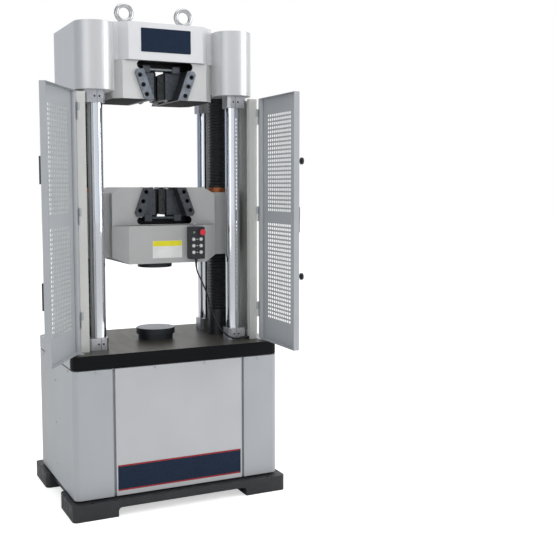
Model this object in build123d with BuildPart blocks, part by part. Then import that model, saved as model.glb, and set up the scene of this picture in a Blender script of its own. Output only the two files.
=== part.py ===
from build123d import *
import os
from math import cos, pi, radians, sin, tan

# Universal testing machine, six-column load frame, in millimetres.
# +X is the machine's right, +Y its back, +Z up; the origin is on the floor under its centre.

os.makedirs("parts", exist_ok=True)

# Fits and sheet
move_gap = 0.3          # between curved faces of parts that move past each other
running_fit = 0.05      # radial clearance of a shaft in its bearing
seat_fit = 0.05         # radial clearance of a fixed round fit
sheet = 2.0             # steel sheet of panels and covers

# Base casting and its feet
base_width = 1010.0
base_depth = 758.0
foot_height = 71.0
foot_width = 200.0
foot_length = 240.0
rail_underside = 40.0
side_notch = 36.0
foot_corner = 20.0
foot_root = 16.0
anchor_radius = 9.0
anchor_side = 85.0      # anchor hole centre to the side edge of the casting
anchor_edge = 20.0      # and to its front edge

# Cabinet
frame_width = 967.0
frame_depth = 673.0
corner_radius = 27.0
plinth_gap = 8.0
plinth_recess = 14.0
cabinet_height = 566.0
rail_size = 30.0
groove_centre = 306.0
groove_width = 12.0
groove_depth = 12.0
louvre_count = 7
louvre_pitch = 26.0
louvre_length = 170.0
louvre_height = 8.0
bridge_margin = 5.0     # bridges under the bellows, past their outside
louvre_spacing = 238.0
louvre_drop = 150.0     # middle row below the panel's top

# Worktable
table_gap = 5.0
table_thickness = 60.0
table_edge = 1.5

# Columns, collars and lead screws
column_radius = 34.0
column_x = 327.0
column_y = 179.0
column_depth = 50.0     # column end sunk in the worktable
collar_height = 54.0
collar_width = 92.0
collar_depth = 84.0
collar_offset = 9.0     # collar centre outboard of the column axis
collar_chamfer = 12.0
collar_slit = 3.0
collar_bolt_spacing = 22.0
collar_bolt_radius = 4.5
collar_bolt_depth = 5.0
screw_radius = 25.0
screw_top_radius = 15.0
screw_top_length = 18.0
screw_top_rise = 8.0     # screw end above the underside of the crosshead's arms
screw_bore_gap = 3.0

# Hydraulic ram
piston_radius = 75.0
piston_flange_radius = 100.0
piston_flange_height = 20.0
cylinder_radius = 100.0
cylinder_base_radius = 128.0
cylinder_base_height = 24.0
cylinder_floor = 40.0
cylinder_drop = 74.0    # top of the cylinder below the cabinet's top
gland_radius = 108.0
gland_height = 28.0
port_radius = 8.5
port_depth = 18.0
port_spacing = 60.0
port_height = 330.0
port_floor = 12.0
port_margin = 36.0
port_corner = 6.0

# Screw drive
housing_radius = 58.0
housing_flange = 150.0
housing_flange_height = 20.0
housing_height = 130.0
housing_corner = 12.0
journal_radius = 20.0
wheel_radius = 108.0
wheel_height = 14.0
wheel_teeth = 36
tooth_depth = 4.0
pinion_radius = 36.0
pinion_teeth = 12
motor_y = 210.0
motor_radius = 62.0
motor_height = 170.0
motor_plate = 10.0
motor_plate_width = 190.0
motor_plate_depth = 130.0
motor_shaft_radius = 9.0
motor_rise = 12.0       # seat plate above the chain wheels
leg_size = 18.0
chain_thickness = 8.0
chain_height = 10.0

# Bellows round the lead screws
bellows_radius = 45.0
bellows_bore = 31.0
bellows_cap = 12.0
bellows_pass = 7.0      # free space round the bellows in castings and covers
sleeve_radius = 49.0
sleeve_bore = 46.5
sleeve_height = 125.0
sleeve_flange_radius = 57.0
sleeve_flange_height = 5.0

# Upper crosshead
upper_mouth_height = 1113.0     # mouth of the upper grip above the worktable
upper_half_width = 198.0
upper_half_depth = 178.0
upper_block_height = 169.0
head_core_x = 228.0
head_core_y = 145.0
head_bridge_y = 140.0           # half depth of the bridge between the arms
head_cover_lap = 2.0            # covers reach past the casting on each side
arm_rise = 35.0                 # arms start this far above the mouth
arm_height = 242.0
arm_radius = 72.0
nut_radius = 52.0
nut_height = 26.0

# Covers of the upper crosshead
head_height = 334.0             # top of the front cover above the mouth
head_front_half = 175.0
head_front_depth = 195.0
head_chamfer_x = 211.0
head_chamfer_y = 159.0
head_side_x = 238.0
head_side_y = 148.0
cover_rise = 27.0               # underside of the side covers above the mouth
cover_height = 290.0
cover_radius = 87.0
cover_mouth = 40.0              # opening of the side covers' floor inboard of the front cover's edge

# Lifting eyes
eye_x = 143.0
eye_y = -30.0
eye_ring_radius = 35.5
eye_bar_radius = 10.25
eye_height = 62.0
eye_collar_radius = 25.0
eye_collar_height = 12.0
eye_neck_radius = 17.0
eye_neck_taper = 12.0

# Wedge grips, the same in both crossheads; heights are measured inwards from the mouth
wedge_angle = 20.0
wedge_half_mouth = 56.5         # half width between the sliding faces at the mouth
liner_thickness = 16.0
key_half_width = 15.0
key_height = 8.0
slot_half_width = 132.0
slot_start = 134.0
slot_end = 169.0
slot_corner = 17.0
jaw_start = 9.0
jaw_end = 127.0
jaw_half_depth = 100.0
jaw_half_gap = 18.5
groove_run = 5.0                # key groove cut past the jaw's ends
vee_depth = 8.0
vee_half_width = 14.0
lug_x = 71.0
lug_width = 34.0
lug_height = 30.0
lug_depth = 40.0
bar_radius = 8.0
bar_half_length = 79.0
bar_front = 113.0               # bar axis in front of the machine's centre plane
bar_level = 142.0
end_plate_thickness = 12.0
end_plate_width = 45.0
end_plate_corner = 16.0
end_plate_bolts = (20.5, 62.5, 104.5)
end_plate_bolt_x = 27.0         # bolt row from the sliding face
end_plate_bolt_radius = 7.5
end_plate_bolt_depth = 6.0

# Middle crosshead
middle_top_height = 719.0       # top above the worktable
middle_half_depth = 150.0
middle_shoulder_x = 190.0
middle_block_x = 248.0
middle_shoulder_drop = 30.0
middle_upper_height = 173.0
middle_end_drop = 24.0          # top of the end blocks below the top
middle_end_rise = 28.0          # underside of the end blocks above the cover's underside
middle_height = 345.0
middle_end_x = 394.0
middle_end_y = 118.0
middle_core_y = 140.0           # half depth of the casting inside the covers
middle_cover_half = 185.0
middle_cover_depth = 195.0
middle_cover_side_y = 150.0
middle_end_corner = 40.0
nut_body_radius = 35.0
nut_flange_radius = 47.0
nut_flange_height = 22.0
nut_body_length = 150.0

# Platens
lower_platen_radius = 91.5
lower_platen_foot = 82.0
lower_platen_height = 54.0
lower_platen_step = 26.0
upper_platen_radius = 81.0
upper_platen_height = 28.0
platen_stem_radius = 40.0
platen_gap = 2.0
platen_edge = 1.5

# Hand control
pendant_x = 127.0
pendant_width = 74.0
pendant_height = 148.0
pendant_depth = 34.0
pendant_top_drop = 180.0        # top of the box below the crosshead's top
pendant_corner = 5.0
pendant_bracket = 4.0
button_radius = 6.0
button_length = 12.0
button_stand = 4.0
button_pitch_x = 36.0
button_pitch_z = 30.0
button_first = 57.0
button_rows = 3
button_travel = 3.0
button_seat = 1.0       # bore left under a pressed button
stop_radius = 14.0
stop_neck_radius = 7.0
stop_stand = 18.0
stop_cap = 8.0
stop_drop = 25.0
stop_offset = 21.6
stop_travel = 4.0
stop_edge = 2.5
gland_cord_radius = 6.5
gland_cord_length = 16.0
cord_radius = 3.5
table_gland_length = 12.0
cord_gland_ahead = 16.0 # cord in front of the side guard's sheet
cord_level = 9.0        # and above the worktable at the post

# Side guards and doors
guard_x = 424.0                 # outer face of the side guards
guard_front = 216.0
guard_back = 250.0
guard_top_drop = 12.0           # guard top below the side covers
post_width = 38.0
post_depth = 30.0
skirt_half_length = 297.0
skirt_drop = 57.0
skirt_clear = 1.5
stay_height = 20.0
hinge_radius = 6.0
hinge_pin_radius = 3.0
hinge_length = 70.0
hinge_inset = 4.0               # hinge axis inboard of the guard's outer face
hinge_ahead = 12.0              # hinge axis in front of the post
hinge_low = 110.0               # lowest hinge above the worktable
hinge_drop = 118.0              # highest hinge below the guard's top
door_skin = 1.5
door_curve = 20.0
door_flat = 372.0
door_start = 8.0
door_straight = 0.01            # shortest straight before the curve
door_lip = 26.0
door_bottom = 7.0
left_door_open = 122.0
right_door_open = 88.5
slot_pitch = 18.7
slot_height = 11.0
slot_groups = 3
slot_group_length = 74.0
slot_group_pitch = 82.0
slot_field_offset = 19.0        # middle of the slots from the middle of the flat, towards the hinge
slot_margin_low = 112.0         # lowest slot above the door's lower edge
slot_margin_high = 82.0
slot_block_gap = 67.0
handle_length = 110.0
handle_reach = 20.0
handle_bar = 10.0
handle_bar_corner = 4.0
handle_edge = 40.0              # handle centre from the door's free edge
left_handle_levels = (288.0, 787.0)
right_handle_levels = (578.0,)
knob_radius = 15.0
knob_neck_radius = 6.0
knob_reach = 22.0
knob_cap = 8.0
knob_levels = (331.0, 833.0)
knob_edge = 14.0

# Levels that follow from the sizes above
cabinet_bottom = foot_height + plinth_gap
cabinet_top = cabinet_bottom + cabinet_height
cylinder_top_z = cabinet_top - cylinder_drop
table_bottom = cabinet_top + table_gap
table_top = table_bottom + table_thickness
upper_mouth_z = table_top + upper_mouth_height
head_join_z = upper_mouth_z + upper_block_height
head_top_z = upper_mouth_z + head_height
arm_bottom_z = upper_mouth_z + arm_rise
arm_top_z = arm_bottom_z + arm_height
screw_top_z = arm_bottom_z + screw_top_rise
cover_bottom_z = upper_mouth_z + cover_rise
cover_top_z = cover_bottom_z + cover_height
middle_top_z = table_top + middle_top_height
middle_join_z = middle_top_z - middle_upper_height
middle_bottom_z = middle_top_z - middle_height
end_top_z = middle_top_z - middle_end_drop
end_bottom_z = middle_bottom_z + middle_end_rise
guard_top_z = cover_bottom_z - guard_top_drop
housing_top_z = foot_height + housing_height
wheel_bottom_z = housing_top_z + move_gap
wheel_top_z = wheel_bottom_z + wheel_height
panel_inner_x = frame_width / 2 - sheet
panel_inner_y = frame_depth / 2 - sheet
wedge_slope = tan(radians(wedge_angle))
four_columns = [(x, y) for x in (-column_x, column_x) for y in (-column_y, column_y)]
two_screws = [(-column_x, 0), (column_x, 0)]

# Base casting: a plate on four feet, notched at the sides
with BuildPart() as base_plate:
    with BuildSketch(Plane.XY.offset(rail_underside)):
        Rectangle(base_width, base_depth)
        with Locations((-base_width / 2, 0), (base_width / 2, 0)):
            Rectangle(2 * side_notch, base_depth - 2 * foot_length, mode=Mode.SUBTRACT)
    extrude(amount=foot_height - rail_underside)
    with BuildSketch(Plane.XY):
        with GridLocations(base_width - foot_width, base_depth - foot_length, 2, 2):
            Rectangle(foot_width, foot_length)
    extrude(amount=rail_underside)
    foot_inner_x = base_width / 2 - foot_width
    roots = base_plate.edges().filter_by(Axis.Y)
    roots = roots.filter_by_position(Axis.Z, rail_underside - 0.1, rail_underside + 0.1)
    roots = roots.filter_by_position(Axis.X, -foot_inner_x - 1, foot_inner_x + 1)
    fillet(roots, radius=foot_root)
    corners = base_plate.edges().filter_by(Axis.Z)
    fillet(corners.group_by(Axis.X)[0] + corners.group_by(Axis.X)[-1], radius=foot_corner)
    with BuildSketch(Plane.XY):
        with GridLocations(base_width - 2 * anchor_side, base_depth - 2 * anchor_edge, 2, 2):
            Circle(anchor_radius)
    extrude(amount=foot_height, mode=Mode.SUBTRACT)
base_plate.part.label = "base_plate"
export_step(base_plate.part, "parts/base_plate.step")

# Cabinet frame: plinth ring, two rail rings, posts behind the grooves and two bridges for the screws
ring_width = 2 * panel_inner_x
ring_depth = 2 * (panel_inner_y - groove_depth)
ring_corner = corner_radius - sheet
plinth_width = frame_width - 2 * plinth_recess
plinth_depth = ring_depth - 2 * plinth_recess
with BuildPart() as cabinet_frame:
    with BuildSketch(Plane.XY.offset(foot_height)):
        RectangleRounded(plinth_width, plinth_depth, corner_radius)
        Rectangle(plinth_width - 2 * rail_size, plinth_depth - 2 * rail_size, mode=Mode.SUBTRACT)
    extrude(amount=plinth_gap)
    for level in (cabinet_bottom, cabinet_top - rail_size):
        with BuildSketch(Plane.XY.offset(level)):
            RectangleRounded(ring_width, ring_depth, ring_corner)
            Rectangle(ring_width - 2 * rail_size, ring_depth - 2 * rail_size, mode=Mode.SUBTRACT)
        extrude(amount=rail_size)
    with BuildSketch(Plane.XY.offset(cabinet_bottom)):
        with GridLocations(2 * groove_centre, ring_depth - rail_size, 2, 2):
            Rectangle(rail_size, rail_size)
        with GridLocations(ring_width - rail_size, ring_depth - 4 * rail_size, 2, 2):
            Rectangle(rail_size, rail_size)
    extrude(amount=cabinet_height)
    with BuildSketch(Plane.XY.offset(cabinet_top - rail_size)):
        with Locations(*two_screws):
            Rectangle(2 * (bellows_radius + bridge_margin), ring_depth - rail_size)
            Circle(screw_radius + screw_bore_gap, mode=Mode.SUBTRACT)
    extrude(amount=rail_size)
cabinet_frame.part.label = "cabinet_frame"
export_step(cabinet_frame.part, "parts/cabinet_frame.step")

# Side panels wrap the corners from groove to groove
panel_edge_x = groove_centre + groove_width / 2
for side, name in ((-1, "left_panel"), (1, "right_panel")):
    with BuildPart() as side_panel:
        with BuildSketch(Plane.XY.offset(cabinet_bottom)):
            RectangleRounded(frame_width, frame_depth, corner_radius)
            RectangleRounded(2 * panel_inner_x, 2 * panel_inner_y, ring_corner, mode=Mode.SUBTRACT)
            with Locations((-side * (frame_width / 2 - panel_edge_x), 0)):
                Rectangle(frame_width, frame_depth, mode=Mode.SUBTRACT)
            for end in (-1, 1):
                with Locations((side * (panel_edge_x + sheet / 2), end * (panel_inner_y - groove_depth / 2))):
                    Rectangle(sheet, groove_depth)
        extrude(amount=cabinet_height)
    side_panel.part.label = name
    export_step(side_panel.part, f"parts/{name}.step")

# Front and rear panels between the grooves, edges bent in; the rear one has louvres
door_panel_half = groove_centre - groove_width / 2
for side, name in ((-1, "front_panel"), (1, "rear_panel")):
    with BuildPart() as flat_panel:
        with BuildSketch(Plane.XY.offset(cabinet_bottom)):
            with Locations((0, side * (panel_inner_y + sheet / 2))):
                Rectangle(2 * door_panel_half, sheet)
            for end in (-1, 1):
                edge_x = end * (door_panel_half - sheet / 2)
                with Locations((edge_x, side * (panel_inner_y - groove_depth / 2))):
                    Rectangle(sheet, groove_depth)
        extrude(amount=cabinet_height)
        if side == 1:
            with BuildSketch(Plane.XZ.offset(-frame_depth / 2)):
                with Locations((0, cabinet_top - louvre_drop)):
                    with GridLocations(louvre_spacing, louvre_pitch, 2, louvre_count):
                        SlotOverall(louvre_length, louvre_height)
            extrude(amount=2 * sheet, both=True, mode=Mode.SUBTRACT)
    flat_panel.part.label = name
    export_step(flat_panel.part, f"parts/{name}.step")

# Ram cylinder with its base flange and the gland ring bolted on top
cylinder_bore = piston_radius + running_fit
with BuildPart() as ram_cylinder:
    with BuildSketch(Plane.XZ):
        with BuildLine():
            Polyline(
                (0, foot_height),
                (cylinder_base_radius, foot_height),
                (cylinder_base_radius, foot_height + cylinder_base_height),
                (cylinder_radius, foot_height + cylinder_base_height),
                (cylinder_radius, cylinder_top_z - gland_height),
                (gland_radius, cylinder_top_z - gland_height),
                (gland_radius, cylinder_top_z),
                (cylinder_bore, cylinder_top_z),
                (cylinder_bore, foot_height + cylinder_floor),
                (0, foot_height + cylinder_floor),
                close=True,
            )
        make_face()
    revolve(axis=Axis.Z)
ram_cylinder.part.label = "ram_cylinder"
export_step(ram_cylinder.part, "parts/ram_cylinder.step")

# Port block on the rear panel, two threaded ports facing back
port_block_depth = port_depth + port_floor
port_face_y = frame_depth / 2 + port_block_depth
with BuildPart() as port_block:
    with BuildSketch(Plane.XZ.offset(-frame_depth / 2)):
        with Locations((0, port_height)):
            RectangleRounded(port_spacing + 2 * port_margin, port_spacing, port_corner)
    extrude(amount=-port_block_depth)
    with BuildSketch(Plane.XZ.offset(-port_face_y)):
        with Locations((0, port_height)):
            with GridLocations(port_spacing, 1, 2, 1):
                Circle(port_radius)
    extrude(amount=port_depth, mode=Mode.SUBTRACT)
port_block.part.label = "port_block"
export_step(port_block.part, "parts/port_block.step")

# Thrust bearing housings of the two lead screws, on the base casting
with BuildPart() as bearing_housings:
    with BuildSketch(Plane.XY.offset(foot_height)):
        with Locations(*two_screws):
            RectangleRounded(housing_flange, housing_flange, housing_corner)
    extrude(amount=housing_flange_height)
    with BuildSketch(Plane.XY.offset(foot_height)):
        with Locations(*two_screws):
            Circle(housing_radius)
    extrude(amount=housing_height)
    with BuildSketch(Plane.XY.offset(foot_height + housing_flange_height)):
        with Locations(*two_screws):
            Circle(journal_radius + running_fit)
    extrude(amount=housing_height, mode=Mode.SUBTRACT)
bearing_housings.part.label = "bearing_housings"
export_step(bearing_housings.part, "parts/bearing_housings.step")

# Gearmotor on a stand that bridges the chain
motor_seat_z = wheel_top_z + motor_rise
with BuildPart() as drive_motor:
    with BuildSketch(Plane.XY.offset(foot_height)):
        with Locations((0, motor_y)):
            with GridLocations(motor_plate_width - leg_size, motor_plate_depth - leg_size, 2, 2):
                Rectangle(leg_size, leg_size)
    extrude(amount=motor_seat_z - foot_height)
    with BuildSketch(Plane.XY.offset(motor_seat_z)):
        with Locations((0, motor_y)):
            Rectangle(motor_plate_width, motor_plate_depth)
            Circle(motor_shaft_radius + running_fit, mode=Mode.SUBTRACT)
    extrude(amount=motor_plate)
    with BuildSketch(Plane.XY.offset(motor_seat_z + motor_plate)):
        with Locations((0, motor_y)):
            Circle(motor_radius)
            Circle(motor_shaft_radius + running_fit, mode=Mode.SUBTRACT)
    extrude(amount=motor_height)
drive_motor.part.label = "drive_motor"
export_step(drive_motor.part, "parts/drive_motor.step")

# Drive chain: one loop round both screw wheels and the motor pinion
chain_inner_gap = 2 * move_gap
wheels = ((-column_x, 0, wheel_radius), (column_x, 0, wheel_radius), (0, motor_y, pinion_radius))
chain_z = (wheel_bottom_z + wheel_top_z - chain_height) / 2
with BuildPart() as drive_chain:
    with BuildSketch(Plane.XY.offset(chain_z)):
        for x, y, radius in wheels:
            with Locations((x, y)):
                Circle(radius + chain_inner_gap + chain_thickness)
        make_hull()
    extrude(amount=chain_height)
    with BuildSketch(Plane.XY.offset(chain_z)):
        for x, y, radius in wheels:
            with Locations((x, y)):
                Circle(radius + chain_inner_gap)
        make_hull()
    extrude(amount=chain_height, mode=Mode.SUBTRACT)
drive_chain.part.label = "drive_chain"
export_step(drive_chain.part, "parts/drive_chain.step")

# Motor pinion on its shaft
with BuildPart() as motor_pinion:
    with BuildSketch(Plane.XY.offset(wheel_bottom_z)):
        with Locations((0, motor_y)):
            Circle(pinion_radius)
            with PolarLocations(pinion_radius, pinion_teeth):
                Circle(tooth_depth, mode=Mode.SUBTRACT)
    extrude(amount=wheel_height)
    with BuildSketch(Plane.XY.offset(wheel_top_z)):
        with Locations((0, motor_y)):
            Circle(motor_shaft_radius)
    extrude(amount=motor_seat_z + motor_plate + motor_height / 2 - wheel_top_z)
motor_pinion.part.label = "motor_pinion"
export_step(motor_pinion.part, "parts/motor_pinion.step")

# Lead screws with their chain wheels; the thread is left to the surface finish
for side, name in ((-1, "left_lead_screw"), (1, "right_lead_screw")):
    with BuildPart() as lead_screw:
        with BuildSketch(Plane.XY.offset(foot_height + housing_flange_height + move_gap)):
            with Locations((side * column_x, 0)):
                Circle(journal_radius)
        extrude(amount=housing_height - housing_flange_height)
        with BuildSketch(Plane.XY.offset(wheel_bottom_z)):
            with Locations((side * column_x, 0)):
                Circle(wheel_radius)
                with PolarLocations(wheel_radius, wheel_teeth):
                    Circle(tooth_depth, mode=Mode.SUBTRACT)
        extrude(amount=wheel_height)
        with BuildSketch(Plane.XY.offset(wheel_top_z)):
            with Locations((side * column_x, 0)):
                Circle(screw_radius)
        extrude(amount=screw_top_z - screw_top_length - wheel_top_z)
        with BuildSketch(Plane.XY.offset(screw_top_z - screw_top_length)):
            with Locations((side * column_x, 0)):
                Circle(screw_top_radius)
        extrude(amount=screw_top_length)
    lead_screw.part.label = name
    export_step(lead_screw.part, f"parts/{name}.step")

# Bellows round the lead screws, as plain sleeves. The upper pair hangs from caps on the screws' top ends.
nut_top_z = end_top_z + nut_flange_height
cap_z = screw_top_z + move_gap
with BuildPart() as upper_bellows:
    with BuildSketch(Plane.XY.offset(nut_top_z + move_gap)):
        with Locations(*two_screws):
            Circle(bellows_radius)
    extrude(amount=cap_z + bellows_cap - nut_top_z - move_gap)
    with BuildSketch(Plane.XY.offset(nut_top_z + move_gap)):
        with Locations(*two_screws):
            Circle(bellows_bore)
    extrude(amount=cap_z - nut_top_z - move_gap, mode=Mode.SUBTRACT)
upper_bellows.part.label = "upper_bellows"
export_step(upper_bellows.part, "parts/upper_bellows.step")

# Lower bellows: from the cabinet's bridges to the underside of the crosshead's ends
with BuildPart() as lower_bellows:
    with BuildSketch(Plane.XY.offset(cabinet_top)):
        with Locations(*two_screws):
            Circle(bellows_radius)
            Circle(bellows_bore, mode=Mode.SUBTRACT)
    extrude(amount=end_bottom_z - move_gap - cabinet_top)
lower_bellows.part.label = "lower_bellows"
export_step(lower_bellows.part, "parts/lower_bellows.step")

# Worktable on the ram, with sockets for the columns and clearance for the bellows
with BuildPart() as worktable:
    with BuildSketch(Plane.XY.offset(table_bottom)):
        RectangleRounded(frame_width, frame_depth, corner_radius)
    extrude(amount=table_thickness)
    chamfer(worktable.edges().group_by(Axis.Z)[-1], length=table_edge)
    with BuildSketch(Plane.XY.offset(table_top - column_depth)):
        with Locations(*four_columns):
            Circle(column_radius + seat_fit)
    extrude(amount=column_depth, mode=Mode.SUBTRACT)
    with BuildSketch(Plane.XY.offset(table_bottom)):
        with Locations(*two_screws):
            Circle(sleeve_bore + seat_fit)
    extrude(amount=table_thickness, mode=Mode.SUBTRACT)
worktable.part.label = "worktable"
export_step(worktable.part, "parts/worktable.step")

# Ram piston, flanged under the worktable
with BuildPart() as piston:
    with BuildSketch(Plane.XY.offset(foot_height + cylinder_floor + move_gap)):
        Circle(piston_radius)
    extrude(amount=table_bottom - foot_height - cylinder_floor - move_gap)
    with BuildSketch(Plane.XY.offset(table_bottom - piston_flange_height)):
        Circle(piston_flange_radius)
    extrude(amount=piston_flange_height)
piston.part.label = "piston"
export_step(piston.part, "parts/piston.step")

# Four chromed columns between the worktable and the upper crosshead
with BuildPart() as columns:
    with BuildSketch(Plane.XY.offset(table_top - column_depth)):
        with Locations(*four_columns):
            Circle(column_radius)
    extrude(amount=arm_top_z + nut_height - table_top + column_depth)
columns.part.label = "columns"
export_step(columns.part, "parts/columns.step")

# Nuts on the columns' top ends, inside the side covers
with BuildPart() as column_nuts:
    with BuildSketch(Plane.XY.offset(arm_top_z)):
        with Locations(*four_columns):
            RegularPolygon(nut_radius, 6)
            Circle(column_radius + seat_fit, mode=Mode.SUBTRACT)
    extrude(amount=nut_height)
column_nuts.part.label = "column_nuts"
export_step(column_nuts.part, "parts/column_nuts.step")

# Split clamp collars at both ends of each column
collar_levels = (table_top, cover_bottom_z - collar_height)
with BuildPart() as column_collars:
    for level in collar_levels:
        with BuildSketch(Plane.XY.offset(level)) as collar_plan:
            for x, y in four_columns:
                outboard = 1 if x > 0 else -1
                with Locations((x + outboard * collar_offset, y)):
                    Rectangle(collar_width, collar_depth)
            chamfer(collar_plan.vertices(), length=collar_chamfer)
            with Locations(*four_columns):
                Circle(column_radius + seat_fit, mode=Mode.SUBTRACT)
            for x, y in four_columns:
                front = -1 if y < 0 else 1
                with Locations((x, y + front * collar_depth / 2)):
                    Rectangle(collar_slit, collar_depth, mode=Mode.SUBTRACT)
        extrude(amount=collar_height)
        for front in (-1, 1):
            with BuildSketch(Plane.XZ.offset(-front * (column_y + collar_depth / 2))):
                for x in (-column_x, column_x):
                    with Locations((x, level + collar_height / 2)):
                        with GridLocations(collar_bolt_spacing, 1, 2, 1):
                            Circle(collar_bolt_radius)
            extrude(amount=front * collar_bolt_depth, mode=Mode.SUBTRACT)
column_collars.part.label = "column_collars"
export_step(column_collars.part, "parts/column_collars.step")

# Wedge grip outlines. A point is (half width, height above the mouth); side -1 mirrors it to the left.
# The lower grip opens upwards, so its heights run down from the mouth.


def wedge_x(height):
    """Half width between the sliding faces of the liners at a height inside the mouth."""
    return wedge_half_mouth + height * wedge_slope


def grip_points(points, mouth_z, inward, side=1):
    """Turn (half width, height inside the mouth) pairs into points of the front plane."""
    return [(side * x, mouth_z + inward * height) for x, height in points]


liner_reach = liner_thickness / cos(radians(wedge_angle))
slot_mid = (slot_start + slot_end) / 2
cavity = [
    (wedge_x(-5) + liner_reach, -5),
    (wedge_x(slot_mid) + liner_reach, slot_mid),
    (-wedge_x(slot_mid) - liner_reach, slot_mid),
    (-wedge_x(-5) - liner_reach, -5),
]
liner = [
    (wedge_x(0), 0),
    (wedge_x(0) + liner_reach, 0),
    (wedge_x(slot_start) + liner_reach, slot_start),
    (wedge_x(slot_start), slot_start),
]
key_reach = key_height / cos(radians(wedge_angle))
liner_key = [
    (wedge_x(0) - key_reach, 0),
    (wedge_x(0) + 1, 0),
    (wedge_x(slot_start) + 1, slot_start),
    (wedge_x(slot_start) - key_reach, slot_start),
]
jaw_reach = move_gap / cos(radians(wedge_angle))
jaw = [
    (jaw_half_gap, jaw_start),
    (wedge_x(jaw_start) - jaw_reach, jaw_start),
    (wedge_x(jaw_end) - jaw_reach, jaw_end),
    (jaw_half_gap, jaw_end),
]
jaw_groove = [
    (wedge_x(jaw_start - groove_run) - key_reach - 2 * jaw_reach, jaw_start - groove_run),
    (wedge_x(jaw_start - groove_run) + groove_run, jaw_start - groove_run),
    (wedge_x(jaw_end + groove_run) + groove_run, jaw_end + groove_run),
    (wedge_x(jaw_end + groove_run) - key_reach - 2 * jaw_reach, jaw_end + groove_run),
]
plate_low = 0.5
plate_high = slot_start - 2
end_plate = [
    (wedge_x(plate_low), plate_low),
    (wedge_x(plate_low) + end_plate_width, plate_low),
    (wedge_x(plate_high - end_plate_corner) + end_plate_width, plate_high - end_plate_corner),
    (wedge_x(plate_high) + end_plate_width - end_plate_corner, plate_high),
    (wedge_x(plate_high), plate_high),
]
plate_bolts = [(wedge_x(height) + end_plate_bolt_x, height) for height in end_plate_bolts]

# Upper crosshead: grip block, core and the four column arms in one casting
with BuildPart() as upper_crosshead:
    with BuildSketch(Plane.XY.offset(upper_mouth_z)) as block_plan:
        Rectangle(2 * (head_side_x - head_cover_lap), 2 * upper_half_depth)
        chamfer(block_plan.vertices(), length=head_side_x - head_cover_lap - upper_half_width)
    extrude(amount=upper_block_height)
    with BuildSketch(Plane.XY.offset(head_join_z)):
        Rectangle(2 * head_core_x, 2 * head_core_y)
    extrude(amount=arm_top_z - head_join_z)
    for side in (-1, 1):
        with BuildSketch(Plane.XY.offset(arm_bottom_z)):
            with Locations((side * column_x, -column_y), (side * column_x, column_y)):
                Circle(arm_radius)
            make_hull()
        extrude(amount=arm_height)
    with BuildSketch(Plane.XY.offset(arm_bottom_z)):
        Rectangle(2 * column_x, 2 * head_bridge_y)
    extrude(amount=arm_height)
    with BuildSketch(Plane.XY.offset(arm_bottom_z)):
        with Locations(*four_columns):
            Circle(column_radius + seat_fit)
        with Locations(*two_screws):
            Circle(bellows_radius + bellows_pass)
    extrude(amount=arm_height, mode=Mode.SUBTRACT)
    with BuildSketch(Plane.XZ):
        with BuildLine():
            Polyline(*grip_points(cavity, upper_mouth_z, 1), close=True)
        make_face()
        with Locations((0, upper_mouth_z + slot_mid)):
            RectangleRounded(2 * slot_half_width, slot_end - slot_start, slot_corner)
    extrude(amount=2 * upper_half_depth, both=True, mode=Mode.SUBTRACT)
upper_crosshead.part.label = "upper_crosshead"
export_step(upper_crosshead.part, "parts/upper_crosshead.step")

# Middle crosshead: grip block, lower block and the ends that hold the nuts
with BuildPart() as middle_crosshead:
    with BuildSketch(Plane.XZ):
        with BuildLine():
            Polyline(
                (-middle_shoulder_x, middle_top_z),
                (middle_shoulder_x, middle_top_z),
                (middle_block_x, middle_top_z - middle_shoulder_drop),
                (middle_block_x, middle_join_z),
                (-middle_block_x, middle_join_z),
                (-middle_block_x, middle_top_z - middle_shoulder_drop),
                close=True,
            )
        make_face()
    extrude(amount=middle_half_depth, both=True)
    with BuildSketch(Plane.XY.offset(middle_bottom_z + sheet + move_gap)):
        Rectangle(2 * middle_cover_half, 2 * middle_core_y)
    extrude(amount=middle_join_z - middle_bottom_z - sheet - move_gap)
    with BuildSketch(Plane.XY.offset(end_bottom_z)) as end_plan:
        Rectangle(2 * middle_end_x, 2 * middle_end_y)
        fillet(end_plan.vertices(), radius=middle_end_corner)
    extrude(amount=end_top_z - end_bottom_z)
    with BuildSketch(Plane.XY.offset(end_bottom_z)):
        with Locations(*two_screws):
            Circle(screw_radius + screw_bore_gap)
    extrude(amount=end_top_z - end_bottom_z, mode=Mode.SUBTRACT)
    with BuildSketch(Plane.XY.offset(end_top_z - nut_body_length)):
        with Locations(*two_screws):
            Circle(nut_body_radius + seat_fit)
    extrude(amount=nut_body_length, mode=Mode.SUBTRACT)
    with BuildSketch(Plane.XZ):
        with BuildLine():
            Polyline(*grip_points(cavity, middle_top_z, -1), close=True)
        make_face()
        with Locations((0, middle_top_z - slot_mid)):
            RectangleRounded(2 * slot_half_width, slot_end - slot_start, slot_corner)
    extrude(amount=2 * middle_half_depth, both=True, mode=Mode.SUBTRACT)
middle_crosshead.part.label = "middle_crosshead"
export_step(middle_crosshead.part, "parts/middle_crosshead.step")

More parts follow.
